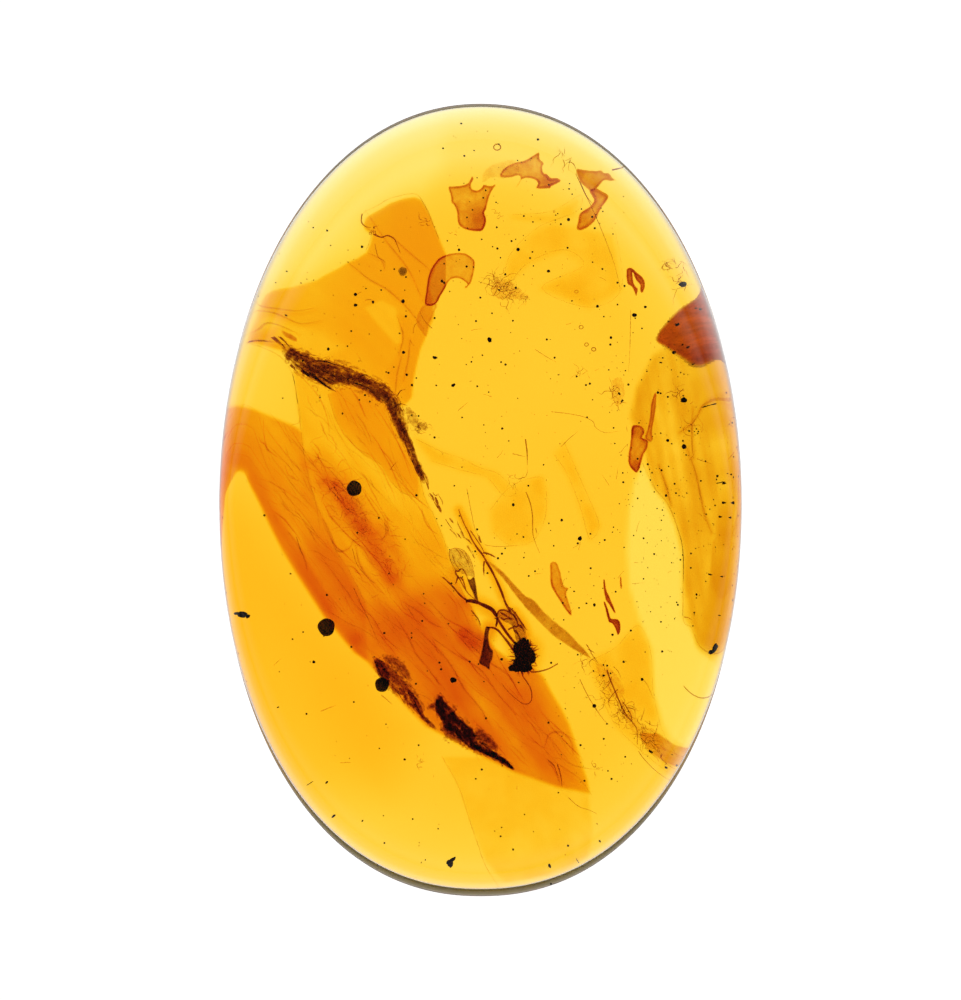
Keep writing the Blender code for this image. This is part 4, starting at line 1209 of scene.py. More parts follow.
def make_films(film_material, red_material, olive_material):
    """The curled films, the slivers, the ribbon and the faint stains."""
    def shield_gloom(x, y):
        spot = np.hypot((x - 0.0) / 0.3, (y - 8.7) / 0.42)
        return 0.1 * np.exp(-spot ** 2) + patch(x, y, (
            (-0.75, 9.0), (-0.3, 9.1), (0.2, 9.15), (0.3, 8.3), (-0.8, 8.3)), 0.15, 0.03)

    def hook_fold(x, y):
        return patch(x, y, HOOK_FOLD, 0.03, 0.085)

    def crest_gloom(x, y):
        return 0.12 * np.exp(-((x - 2.1) / 0.3) ** 2 - ((y - 9.95) / 0.25) ** 2)

    def leafy_gloom(x, y):
        return (0.16 * np.exp(-((x - 4.86) / 0.16) ** 2 - ((y - 1.1) / 0.2) ** 2)
                + 0.1 * np.exp(-((x - 4.75) / 0.12) ** 2 - ((y - 2.15) / 0.2) ** 2))

    def drop_gloom(x, y):
        line = ((2.2, -2.5), (2.3, -2.8), (2.5, -3.15), (2.8, -3.55))
        return stroke(x, y, line, 0.12, 0.09)

    whole = {"film_shield": shield_gloom, "film_crest": crest_gloom, "film_corner": None,
             "film_hook": hook_fold, "film_leafy": leafy_gloom, "film_drop": drop_gloom}
    sheets = (
        ("film_shield", film_material, SHIELD, 2.2, 0.085, 3.0, 0.06, 0.018, 210),
        ("film_crest", film_material, CREST, 2.0, 0.07, 3.0, 0.06, 0.018, 220),
        ("film_crest_veil", film_material, CREST_VEIL, 2.0, 0.02, 1.0, 0.3, 0.025, 225),
        ("film_corner", film_material, CORNER_UPPER, 1.9, 0.12, 1.9, 0.06, 0.018, 230),
        ("film_corner_lower", film_material, CORNER_LOWER, 1.9, 0.13, 2.2, 0.1, 0.018, 235),
        ("film_hook", film_material, HOOK, 2.1, 0.06, 3.6, 0.05, 0.016, 240),
        ("film_hook_tail", film_material, HOOK_TAIL, 2.1, 0.04, 1.8, 0.06, 0.02, 245),
        ("film_leafy", film_material, LEAFY_HEAD, 2.2, 0.12, 2.8, 0.07, 0.016, 250),
        ("film_leafy_stem", film_material, LEAFY_STEM, 2.2, 0.09, 2.6, 0.06, 0.016, 255),
        ("film_drop", film_material, DROP, 1.9, 0.1, 1.9, 0.06, 0.018, 260),
        ("film_loop", red_material, RED_LOOP, 2.2, 0.13, 2.0, 0.05, 0.014, 265),
        ("film_sliver_long", red_material, SLIVER_LONG, 2.1, 0.2, 1.6, 0.04, 0.014, 270),
        ("film_sliver_low", red_material, SLIVER_LOW, 2.1, 0.24, 1.6, 0.04, 0.014, 275),
        ("film_sliver_small", red_material, SLIVER_SMALL, 2.1, 0.18, 1.4, 0.04, 0.014, 280),
        ("film_ribbon", olive_material, RIBBON, 1.7, 0.09, 1.1, 0.12, 0.025, 285),
        ("film_patch", film_material, PATCH, 1.6, 0.07, 1.2, 0.2, 0.03, 290),
        *(("stain_%d" % index, red_material, outline, 2.3, 0.014, 0.6, 0.4, 0.03, 310 + 7 * index)
          for index, outline in enumerate(STAINS)),
        ("film_reddish", red_material, REDDISH, 2.2, 0.06, 1.1, 0.06, 0.02, 295),
    )
    for name, material, *shape in sheets:
        replaced = (name,) if name in whole else ()
        add_film(name, material, "resin_film", *shape, replaced, whole.get(name))


TWIG_LINE = (
    (-6.08, 4.66, 1.8), (-5.96, 4.57, 1.82), (-5.8, 4.47, 1.85), (-5.5, 4.3, 1.9),
    (-5.22, 4.14, 1.95), (-4.9, 4.04, 1.98), (-4.59, 3.96, 2.0), (-4.25, 3.88, 2.02),
    (-3.96, 3.79, 2.05), (-3.62, 3.65, 2.08), (-3.3, 3.48, 2.1), (-3.05, 3.33, 2.1),
    (-2.85, 3.15, 2.1), (-2.68, 2.88, 2.1), (-2.58, 2.6, 2.1), (-2.48, 2.3, 2.1),
    (-2.36, 2.0, 2.1), (-2.25, 1.72, 2.1), (-2.14, 1.45, 2.08), (-2.04, 1.2, 2.05),
    (-1.92, 0.92, 2.02), (-1.78, 0.6, 2.0),
)
TWIG_WIDTHS = (
    0.3, 0.4, 0.48, 0.58, 0.62, 0.62, 0.58, 0.5, 0.44, 0.42, 0.42, 0.46, 0.46, 0.44, 0.36, 0.3,
    0.26, 0.22, 0.2, 0.18, 0.16, 0.14,
)
TWIG_SPLINTERS = (
    ((-5.95, 4.22), (-5.85, 4.14), (-5.8, 4.05), 0.045),
    ((-5.6, 4.05), (-5.4, 3.92), (-5.25, 3.82), 0.05),
    ((-5.35, 3.98), (-5.0, 3.68), (-4.75, 3.52), 0.05),
    ((-5.0, 3.7), (-4.72, 3.5), (-4.52, 3.4), 0.04),
    ((-4.9, 3.78), (-4.66, 3.66), (-4.5, 3.62), 0.03),
    ((-6.62, 4.72), (-6.55, 4.77), (-6.42, 4.84), 0.02),
    ((-6.3, 5.0), (-6.24, 4.9), (-6.1, 4.7), 0.04),
    ((-6.2, 5.05), (-6.12, 4.95), (-5.98, 4.8), 0.03),
    ((-5.1, 4.35), (-4.8, 4.3), (-4.5, 4.2), 0.03),
    ((-3.75, 3.85), (-3.6, 3.9), (-3.5, 3.88), 0.02),
    ((-2.6, 3.25), (-2.5, 3.4), (-2.35, 3.45), 0.02),
    ((-2.7, 2.9), (-2.5, 3.0), (-2.3, 2.95), 0.02),
)
TWIG_DASHES = (
    ((-2.0, 1.05), (-1.88, 0.85), (-1.8, 0.72), 0.035),
    ((-1.85, 0.92), (-1.7, 0.72), (-1.62, 0.48), 0.025),
    ((-1.72, 0.6), (-1.65, 0.45), (-1.62, 0.32), 0.03),
    ((-1.6, 0.22), (-1.5, 0.1), (-1.45, -0.02), 0.035),
    ((-1.42, 0.1), (-1.36, -0.05), (-1.32, -0.15), 0.045),
    ((-1.35, -0.12), (-1.28, -0.25), (-1.22, -0.38), 0.045),
    ((-1.5, 0.05), (-1.35, -0.22), (-1.22, -0.42), 0.018),
    ((-0.97, -0.56), (-0.92, -0.63), (-0.86, -0.72), 0.03),
    ((-1.1, -0.6), (-1.0, -0.75), (-0.88, -0.92), 0.014),
    ((-0.73, -0.7), (-0.66, -0.85), (-0.58, -1.0), 0.02),
    ((-0.6, -0.95), (-0.55, -1.08), (-0.5, -1.2), 0.025),
    ((-0.73, -1.04), (-0.67, -1.12), (-0.61, -1.2), 0.026),
    ((-0.95, -0.9), (-0.8, -1.05), (-0.72, -1.18), 0.012),
    ((-0.5, -1.2), (-0.38, -1.26), (-0.28, -1.38), 0.022),
    ((-0.42, -1.42), (-0.36, -1.52), (-0.28, -1.64), 0.02),
    ((-0.26, -1.68), (-0.22, -1.76), (-0.17, -1.84), 0.018),
    ((-0.05, -1.1), (-0.02, -1.25), (0.03, -1.34), 0.035),
    ((-1.5, 0.25), (-1.42, 0.15), (-1.3, 0.2), 0.016),
    ((-1.3, 0.15), (-1.2, -0.02), (-1.18, -0.15), 0.014),
)


def along_line(x, y, line):
    """Signed distance from a line of points and the place along it nearest each point."""
    nearest = np.full(x.shape, FAR)
    across, place = np.zeros(x.shape), np.zeros(x.shape)
    gone = 0.0
    for (ax, ay), (bx, by) in zip(line, line[1:]):
        run_x, run_y = bx - ax, by - ay
        run = math.hypot(run_x, run_y)
        share = np.clip(((x - ax) * run_x + (y - ay) * run_y) / run ** 2, 0, 1)
        off = np.hypot(x - ax - share * run_x, y - ay - share * run_y)
        closer = off < nearest
        nearest = np.where(closer, off, nearest)
        side = np.sign(run_x * (y - ay) - run_y * (x - ax))
        across = np.where(closer, off * side, across)
        place = np.where(closer, gone + share * run, place)
        gone += run
    return across, place


def add_litter(name, material, line, widths, level, thick, cell, seed, replaced=(),
               fray=0.3, fringe=0.5, hollow=0.0):
    """A flattened strip of plant fibre, thick along its middle and frayed at its edges."""
    path = smooth_line(np.array(line)[:, :2], 6)
    broad = smooth_widths(widths, 6)
    steps = np.linalg.norm(np.diff(path, axis=0), axis=1)
    places = np.concatenate([[0], np.cumsum(steps)])

    def thickness(x, y):
        across, place = along_line(x, y, path)
        half = np.interp(place, places, broad / 2)
        half = half * (1 + fray * cloud(place, np.sign(across) * 9, 0.3, seed)
                       + 0.5 * fray * cloud(place, np.sign(across) * 5, 0.06, seed + 1)) + 0.01
        reach = np.abs(across) / half
        fibres = (cloud(place * 0.14, across, 0.07, seed + 2)
                  + 0.5 * cloud(place * 0.2, across, 0.03, seed + 3))
        grain = cloud(x, y, 0.07, seed + 4)
        body = np.maximum(1 - reach ** 2, 0) ** 0.45
        tone = np.maximum(1 + 0.8 * fibres + 0.9 * grain, 0.12)
        gaps = 1 - hollow * ease(4 * cloud(place * 0.35, across, 0.16, seed + 5) + 0.3)
        hairs = fringe * np.maximum(2.2 * fibres + 1.2 * grain - 0.25, 0) * ease(1.7 - reach)
        ends = ease(np.minimum(place, places[-1] - place) / 0.12 + 0.2)
        return thick * np.maximum(body * tone * gaps, hairs * (half > 0.03)) * ends

    box = box_of(path, float(np.max(broad)) * 0.9 + 0.05)
    lens(name, material, box, cell, thickness, lambda x, y: np.full(x.shape, level), replaced)


def make_twig(material, dark_material):
    """A frayed strip of bark fibre, the splinters that stand off it and its trail of bits."""
    add_litter("twig", material, TWIG_LINE, TWIG_WIDTHS, 2.0, 0.27, 0.018, 400, ("twig",),
               fray=0.45)
    core = Shapes()
    path = smooth_line(TWIG_LINE, 6)
    widths = smooth_widths(TWIG_WIDTHS, 6)
    chance = random.Random(11)
    ahead = np.gradient(path, axis=0)
    ahead /= np.linalg.norm(ahead, axis=1, keepdims=True)
    aside = np.stack([-ahead[:, 1], ahead[:, 0], 0 * ahead[:, 0]], axis=1)
    for _ in range(170):
        first = chance.randrange(0, len(path) - 6)
        last = min(first + chance.randrange(4, 12), len(path) - 1)
        offset = chance.choice((-1, 1)) * chance.uniform(0.55, 1.15)
        drift = chance.uniform(-0.5, 0.5)
        share = np.linspace(0, 1, last + 1 - first)[:, None]
        half_width = (widths[first:last + 1] / 2)[:, None]
        line = path[first:last + 1] + aside[first:last + 1] * half_width * (offset + drift * share)
        radius = chance.uniform(0.006, 0.014)
        core.tube(line, radius * np.sin(math.pi * (0.08 + 0.84 * share[:, 0])), 5)
    for start, middle, end, radius in TWIG_SPLINTERS:
        line = raised((start, middle, end), 1.95)
        core.tube(line, tapered(len(line), radius, radius * 0.25, 0.3), 6)
        for _ in range(3):
            nudge = np.array([chance.uniform(-1, 1), chance.uniform(-1, 1), 0.5]) * radius
            core.tube(line + nudge, tapered(len(line), radius * 0.4, 0.004, 0.3), 5)
    core.piece("twig_fibres", dark_material, "twig")
    trail = Shapes()
    for start, middle, end, radius in TWIG_DASHES:
        line = raised((start, middle, end), 1.98)
        trail.tube(line, swelling(line, radius, 0.12, 0.9), 7, 0.7)
        for _ in range(2):
            nudge = np.array([chance.uniform(-1.5, 1.5), chance.uniform(-1.5, 1.5), 0]) * radius
            trail.tube(line + nudge, tapered(len(line), 0.009, 0.003, 0.3), 5)
    trail.piece("twig_trail", dark_material, "twig")


BUD_LINE = (
    (-1.3, -6.2, 1.9), (-1.22, -6.5, 1.92), (-0.98, -6.82, 1.95), (-0.68, -7.12, 1.98),
    (-0.38, -7.42, 2.0), (-0.05, -7.68, 1.98), (0.35, -7.92, 1.95), (0.72, -8.14, 1.92),
    (1.02, -8.39, 1.9),
)
BUD_WIDTHS = (0.2, 0.42, 0.5, 0.48, 0.42, 0.3, 0.2, 0.14, 0.05)
LEAF_LINE = (
    (-3.32, -4.92, 1.95), (-3.05, -5.24, 2.0), (-2.72, -5.62, 2.05), (-2.35, -5.98, 2.05),
    (-2.02, -6.4, 2.0), (-1.72, -6.89, 1.95),
)
LEAF_WIDTHS = (0.08, 0.4, 0.42, 0.34, 0.24, 0.06)
CRUMBS = (
    ("bud_scale", ((-1.27, -6.08), (-1.24, -6.3)), (0.1, 0.14), 0.3),
    ("bud_scale", ((-0.1, -7.15), (0.1, -7.4), (0.35, -7.62), (0.5, -7.8)),
     (0.12, 0.3, 0.26, 0.1), 0.16),
    ("bud_scale", ((-1.2, -7.05), (-0.9, -7.3), (-0.6, -7.5)), (0.16, 0.3, 0.14), 0.14),
    ("bud_scale", ((-1.75, -6.8), (-1.6, -6.95), (-1.42, -7.12)), (0.06, 0.12, 0.06), 0.25),
    ("leaf_scrap", ((-1.62, -6.5), (-1.5, -6.42), (-1.46, -6.55)), (0.08, 0.12, 0.06), 0.2),
    ("leaf_scrap", ((-3.0, -4.85), (-2.6, -5.15), (-2.2, -5.6)), (0.1, 0.3, 0.1), 0.1),
    ("twig", ((-2.3, 2.9), (-2.1, 2.5), (-1.9, 2.1)), (0.1, 0.25, 0.1), 0.02),
    ("twig", ((-1.95, 2.42), (-1.8, 2.3), (-1.68, 2.2)), (0.1, 0.16, 0.1), 0.03),
)


def make_scraps(bud_material, leaf_material, fibre_material):
    """The bud scale, the leaf scrap, the crumbs by them and their loose fibres."""
    add_litter("bud_scale", bud_material, BUD_LINE, BUD_WIDTHS, 1.95, 0.55, 0.018, 420,
               ("bud_scale",), 0.4, 0.35)
    add_litter("leaf_scrap", leaf_material, LEAF_LINE, LEAF_WIDTHS, 2.0, 0.4,
               0.018, 430, ("leaf_scrap",), 0.35, 0.35, 0.55)
    for index, (slot, line, widths, thick) in enumerate(CRUMBS):
        add_litter("crumb_%d" % index, bud_material, line, widths, 1.9, thick,
                   0.02, 440 + 9 * index,
                   (), 0.5, 0.6)
    shapes = Shapes()
    chance = random.Random(23)
    for line, widths, count in ((BUD_LINE, BUD_WIDTHS, 60), (LEAF_LINE, LEAF_WIDTHS, 50)):
        path = smooth_line(line, 8)
        broad = smooth_widths(widths, 8)
        for _ in range(count):
            index = chance.randrange(2, len(path) - 6)
            side = chance.choice((-1, 1)) * broad[index] / 2
            ahead = path[index + 1] - path[index]
            ahead = ahead / np.linalg.norm(ahead)
            out = np.array([-ahead[1], ahead[0], 0]) * side
            start = path[index] + out * 0.7
            end = path[index] + out * chance.uniform(0.9, 1.5) + ahead * chance.uniform(0.1, 0.4)
            middle = (start + end) / 2 + out * 0.15
            shapes.tube(smooth_line((start, middle, end), 4), np.linspace(0.014, 0.005, 9), 5)
    shapes.piece("scrap_fibres", fibre_material, "bud_scale")


BARK = (
    (6.72, 6.9), (6.45, 6.6), (6.12, 6.08), (5.88, 5.65), (5.5, 5.02), (5.8, 4.8), (6.25, 4.52),
    (6.63, 4.1), (6.95, 3.78), (7.25, 3.5), (7.72, 3.2), (7.6, 4.3), (7.34, 5.3), (7.05, 6.3),
)
BARK_LEVEL = 1.5
BARK_THICKNESS = 0.26


def make_bark(material):
    """A torn flake with low ribs along it; its outline is sunk point by point."""
    outline = np.array([sunk(np.array(x), np.array(y), BARK_LEVEL) for x, y in BARK])
    smooth = smooth_line(outline, 4, closed=True)

    def thickness(x, y):
        inside = inside_distance(x, y, smooth) + 0.02 * cloud(x, y, 0.2, 301)
        ribs = 0.02 * streaks(x, y, 70, 2.4, 0.2, 302)
        return ease(inside / 0.06) * (BARK_THICKNESS + ribs + 0.05 * cloud(x, y, 0.5, 303))

    lens("bark_flake", material, box_of(smooth, 0.05), 0.03, thickness,
         lambda x, y: BARK_LEVEL + 0.02 * cloud(x, y, 0.8, 304), ("bark_flake",), seen=False)


PELLETS = (
    ("pellet_middle", (-3.94, 0.36, 2.1), 0.23), ("pellet_side", (-4.81, -3.97, 1.9), 0.27),
    ("pellet_leaf", (-3.08, -5.77, 1.4), 0.22), ("pellet_top", (-2.43, 7.14, 1.9), 0.14),
)


def make_pellets(material, pale_material):
    """Round pellets, the one by the head paler than the rest."""
    for index, (name, centre, radius) in enumerate(PELLETS):
        shapes = Shapes()
        shapes.ball(centre, (2 * radius, 2.1 * radius, 1.9 * radius), 0.07, 40 + index, 24, 36)
        chosen = pale_material if name == "pellet_top" else material
        shapes.piece(name, chosen, "pellet", (name,))


HAIRS = (
    (((2.97, 10.2), (3.2, 9.72), (3.45, 9.2), (3.72, 8.6), (3.95, 8.02), (4.2, 7.3),
      (4.37, 6.6)), 0.013),
    (((3.1, 9.95), (3.3, 9.5), (3.5, 9.25)), 0.02),
    (((4.05, 10.25), (4.28, 10.33), (4.5, 10.45)), 0.03),
    (((6.77, 1.3), (7.0, 1.22), (7.3, 1.15)), 0.013),
    (((4.95, -7.85), (5.15, -8.15), (5.35, -8.42)), 0.013),
    (((0.13, -1.4), (0.5, -1.45), (1.04, -1.43)), 0.011),
    (((-0.42, 0.35), (-0.3, -0.3), (-0.2, -0.8), (-0.05, -1.2)), 0.01),
    (((4.7, 5.95), (4.68, 5.3), (4.66, 4.6), (4.62, 4.0)), 0.01),
    (((1.42, 0.25), (1.55, -0.1), (1.62, -0.5), (1.63, -1.0), (1.7, -1.3), (1.85, -1.66)), 0.017),
    (((1.72, -0.88), (1.74, -0.97), (1.76, -1.06)), 0.016),
    (((1.4, 1.9), (1.45, 1.5), (1.46, 1.1)), 0.022),
    (((1.0, 1.45), (1.2, 1.4), (1.4, 1.35)), 0.012),
    (((2.2, 2.75), (2.7, 2.7), (3.2, 2.6), (3.5, 2.45), (3.6, 2.25), (3.9, 2.1),
      (4.3, 2.15)), 0.01),
    (((2.5, 1.65), (2.75, 1.9), (3.05, 2.15)), 0.01),
    (((-0.7, 2.8), (-0.55, 2.92), (-0.4, 3.05)), 0.01),
    (((1.7, 4.7), (2.0, 4.5), (2.35, 4.3)), 0.01),
    (((3.3, -4.5), (3.4, -4.65), (3.5, -4.85), (3.68, -5.1)), 0.018),
    (((3.35, -4.65), (3.48, -4.72), (3.6, -4.8)), 0.014),
    (((3.95, -5.3), (4.05, -5.6), (4.2, -5.95), (4.35, -6.3), (4.55, -6.7), (4.8, -7.0),
      (4.9, -7.2), (4.92, -7.65)), 0.026),
    (((4.1, -5.5), (4.0, -5.75), (3.8, -5.95)), 0.014),
    (((4.3, -5.9), (4.1, -6.1), (4.0, -6.3), (4.05, -6.5)), 0.016),
    (((4.45, -6.3), (4.7, -6.7), (4.75, -7.0)), 0.018),
    (((4.15, -5.2), (4.3, -5.35), (4.4, -5.6)), 0.012),
    (((5.0, -5.55), (5.2, -5.75), (5.4, -6.2)), 0.01),
    (((5.15, -6.9), (5.4, -7.05), (5.65, -7.02)), 0.01),
    (((3.1, -5.6), (3.4, -6.2), (3.8, -6.8), (4.0, -7.0)), 0.014),
    (((-3.7, 8.95), (-3.72, 8.7), (-3.6, 8.55), (-3.42, 8.5)), 0.022),
    (((-3.35, 8.3), (-3.1, 8.2), (-2.9, 8.25), (-2.7, 8.15), (-2.6, 7.95), (-2.5, 7.7)), 0.026),
    (((-3.3, 8.0), (-3.2, 7.6), (-3.0, 7.45), (-3.0, 7.2)), 0.012),
    (((-3.9, 6.4), (-3.78, 6.48), (-3.7, 6.5)), 0.01),
    (((-3.6, 6.23), (-3.45, 6.26), (-3.3, 6.18)), 0.012),
    (((-2.2, 5.0), (-2.15, 4.9), (-2.05, 4.8)), 0.01),
    (((-2.82, 0.95), (-2.7, 1.1), (-2.58, 1.22)), 0.012),
    (((-5.0, -6.6), (-4.75, -6.5), (-4.5, -6.4)), 0.012),
    (((-3.1, -6.08), (-2.95, -6.2), (-2.75, -6.38)), 0.014),
    (((-5.85, -7.88), (-5.65, -8.05), (-5.45, -8.25)), 0.013),
    (((-4.4, -8.22), (-4.2, -8.2), (-4.05, -8.2)), 0.01),
    (((-3.95, -2.75), (-3.7, -3.3), (-3.4, -3.95), (-3.15, -4.55)), 0.011),
    (((-4.0, -1.5), (-3.85, -2.0), (-3.62, -2.3)), 0.012),
    (((-3.0, -0.7), (-2.95, -1.0), (-3.05, -1.2)), 0.01),
    (((-5.75, -1.15), (-5.6, -1.6), (-5.5, -1.8)), 0.012),
    (((2.4, -8.25), (2.5, -8.6), (2.55, -8.95)), 0.022),
    (((2.1, -8.1), (2.3, -8.3), (2.4, -8.6)), 0.016),
    (((2.75, -9.3), (3.1, -9.6), (3.6, -9.75)), 0.012),
    (((7.4, -2.3), (7.5, -2.4), (7.45, -2.6)), 0.018),
    (((6.35, -3.65), (6.5, -3.68), (6.6, -3.75)), 0.014),
    (((6.35, -5.8), (6.5, -6.2), (6.8, -6.8)), 0.012),
    (((-1.5, 5.35), (-1.75, 5.6), (-1.9, 5.9)), 0.012),
    (((-2.1, 5.2), (-2.05, 5.45), (-1.85, 5.6)), 0.01),
)
SCRIBBLES = (
    ((0.5, 6.75), 0.34, 30, 0.012), ((0.75, 6.45), 0.3, 26, 0.012), ((0.95, 6.6), 0.22, 12, 0.01),
    ((1.4, 6.25), 0.22, 8, 0.012), ((5.8, 7.2), 0.28, 14, 0.012), ((5.9, 6.55), 0.25, 10, 0.012),
    ((4.1, 3.5), 0.2, 10, 0.016), ((4.3, 3.1), 0.22, 8, 0.014), ((0.58, 8.88), 0.16, 5, 0.014),
    ((2.75, 10.72), 0.3, 9, 0.014), ((-1.91, -8.14), 0.16, 7, 0.012), ((-1.95, 2.3), 0.2, 9, 0.012),
    ((-1.7, 2.35), 0.16, 6, 0.01), ((5.3, -7.6), 0.35, 16, 0.012), ((4.0, -6.2), 0.4, 14, 0.01),
    ((-1.75, 8.65), 0.2, 6, 0.014), ((-3.35, 8.45), 0.12, 7, 0.02), ((3.6, -8.4), 0.14, 5, 0.012),
    ((4.6, -6.9), 0.3, 16, 0.012), ((5.0, -7.2), 0.3, 14, 0.014), ((3.9, -5.6), 0.35, 14, 0.01),
    ((4.4, -6.5), 0.3, 16, 0.015), ((3.3, -5.0), 0.25, 10, 0.012), ((6.2, 3.3), 0.3, 10, 0.012),
    ((6.6, 2.3), 0.35, 10, 0.01), ((1.1, 0.6), 0.3, 6, 0.01), ((3.3, 3.9), 0.3, 6, 0.01),
    ((-0.8, 8.4), 0.1, 3, 0.012), ((7.25, -4.62), 0.14, 10, 0.03), ((6.9, 5.9), 0.1, 2, 0.01),
)
DARK_SCRAPS = (
    ((7.22, -4.58, 4.1), (0.14, 0.3, 0.14), -20), ((7.12, -4.7, 4.1), (0.2, 0.12, 0.12), 20),
    ((-7.36, -3.54, 4.15), (0.28, 0.18, 0.14), -5), ((-7.5, -3.5, 4.0), (0.14, 0.08, 0.08), 10),
    ((-7.2, -3.6, 4.2), (0.12, 0.12, 0.1), 0), ((-0.94, -11.26, 3.85), (0.2, 0.24, 0.14), 10),
    ((-0.86, -11.14, 3.85), (0.2, 0.1, 0.1), 25), ((-0.85, -5.62, 2.0), (0.2, 0.16, 0.14), 0),
    ((0.28, 5.0, 2.0), (0.12, 0.16, 0.1), 20), ((-0.85, 3.58, 2.2), (0.14, 0.09, 0.08), 35),
    ((-1.42, 4.44, 2.2), (0.15, 0.09, 0.08), -10), ((1.02, -0.15, 2.0), (0.08, 0.1, 0.07), 0),
    ((-0.1, 3.55, 2.0), (0.06, 0.06, 0.06), 0), ((3.1, -1.2, 2.1), (0.12, 0.14, 0.1), -20),
    ((6.35, 3.12, 2.2), (0.2, 0.16, 0.12), 0), ((-2.3, 3.9, 2.2), (0.08, 0.08, 0.08), 0),
)
DOTS = (
    (5.98, 6.55, 0.09), (4.81, 5.78, 0.075), (6.03, 4.6, 0.06), (6.06, 5.42, 0.05),
    (5.14, 6.02, 0.045), (6.5, 5.8, 0.045), (4.07, 5.07, 0.045), (6.1, 4.62, 0.03),
    (6.36, 1.67, 0.07), (5.84, 1.86, 0.05), (6.32, 1.85, 0.035), (5.79, 0.14, 0.045),
    (5.54, 3.35, 0.045), (4.61, 3.6, 0.035), (3.65, 6.04, 0.05), (3.85, 5.72, 0.03),
    (4.05, 4.85, 0.035), (2.12, 7.14, 0.05), (1.17, 7.82, 0.05), (1.62, 7.74, 0.03),
    (1.65, 7.3, 0.025), (-0.67, 7.8, 0.04), (-3.7, 7.9, 0.04), (-3.9, 6.08, 0.055),
    (-3.35, 6.17, 0.05), (-3.9, 6.41, 0.05), (-2.42, 6.2, 0.055), (-2.33, 5.73, 0.035),
    (-4.75, 4.71, 0.045), (-4.15, 4.8, 0.03), (-2.4, 4.6, 0.05), (-2.87, 3.96, 0.035),
    (-2.7, 4.14, 0.025), (-2.14, 3.58, 0.04), (-2.0, 3.8, 0.025), (-4.3, 2.7, 0.035),
    (-3.6, 3.27, 0.035), (-3.77, 3.12, 0.03), (-3.45, 3.07, 0.03), (-2.15, 2.65, 0.03),
    (-1.93, 2.62, 0.03), (2.53, -0.63, 0.045), (2.13, -0.73, 0.025), (3.03, -1.35, 0.04),
    (1.7, -2.22, 0.035), (2.28, -1.43, 0.025), (3.3, -3.22, 0.035), (3.55, -3.27, 0.05),
    (3.07, -3.36, 0.025), (2.92, -2.85, 0.03), (0.55, -1.82, 0.035), (0.22, -2.28, 0.035),
    (2.2, -5.07, 0.04), (0.66, -4.97, 0.045), (-1.28, -5.07, 0.035), (-1.23, -5.28, 0.035),
    (-2.15, -4.15, 0.03), (-2.15, -4.3, 0.03), (-3.0, -4.15, 0.04), (-1.82, -3.77, 0.03),
    (-3.17, -0.56, 0.035), (-2.0, 0.15, 0.04), (-2.35, -1.22, 0.025), (-6.75, -0.48, 0.035),
    (-5.2, -5.05, 0.045), (-7.12, -5.61, 0.04), (-6.7, -6.16, 0.035), (-5.43, -6.67, 0.035),
    (-5.92, -2.3, 0.03), (-7.8, 0.95, 0.035), (-3.95, -6.3, 0.03), (-2.37, -8.09, 0.035),
    (-4.72, -8.74, 0.03), (4.12, -4.2, 0.04), (4.47, -5.05, 0.04), (5.05, -5.6, 0.05),
    (3.55, -6.42, 0.06), (2.12, -6.95, 0.035), (7.75, 1.5, 0.04), (7.45, 0.75, 0.035),
    (7.4, 0.65, 0.03), (6.88, 0.6, 0.035), (5.35, 0.85, 0.03), (5.3, 0.62, 0.025),
    (6.75, -2.95, 0.035), (-0.52, 9.9, 0.02), (2.75, 8.75, 0.05), (2.77, 9.72, 0.03),
    (1.78, 11.22, 0.04), (-1.17, 10.98, 0.03), (-0.6, 11.75, 0.035), (3.5, 7.42, 0.025),
    (0.77, 7.03, 0.04), (1.1, 6.62, 0.04), (4.5, 6.68, 0.035), (4.28, 6.1, 0.035),
    (-6.1, 7.6, 0.02), (-6.5, 6.2, 0.025), (-6.15, 6.65, 0.02),
    (-6.17, 3.18, 0.025), (-1.9, 7.15, 0.015), (-1.2, 6.83, 0.05), (-1.13, 6.78, 0.04),
    (2.05, -11.1, 0.035), (2.2, -12.0, 0.03), (3.55, -10.4, 0.03), (-3.6, -9.9, 0.025),
    (-2.95, -7.0, 0.025), (-0.15, -8.7, 0.03), (1.65, -11.95, 0.02), (0.45, -10.35, 0.02),
)
# Painted shade for the dark edges of small bubbles: x and y of each ring's middle, its radius and its
# thickness.
RINGS = (
    (0.52, 11.02, 0.11, 0.02), (3.14, 5.39, 0.065, 0.014), (3.31, 4.85, 0.06, 0.014),
    (3.53, 4.7, 0.065, 0.016), (2.99, 6.5, 0.055, 0.012), (2.3, 9.0, 0.03, 0.01),
)
SPECK_FIELDS = (
    (170, (4.0, -1.5), (7.9, 5.8)), (120, (5.0, -4.0), (7.8, 1.0)), (130, (-1.5, 3.0), (4.5, 9.0)),
    (150, (-6.5, -11.0), (5.5, -1.0)), (110, (-2.0, -4.0), (5.0, 3.0)),
    (60, (-6.5, 3.0), (-2.0, 9.0)),
    (70, (2.5, -9.0), (6.0, -4.0)), (60, (-1.0, 8.5), (4.5, 11.5)),
)
FIBRE_FIELDS = ((26, (-6.5, -11.0), (5.0, 10.0)), (16, (3.0, -3.0), (7.5, 6.0)))


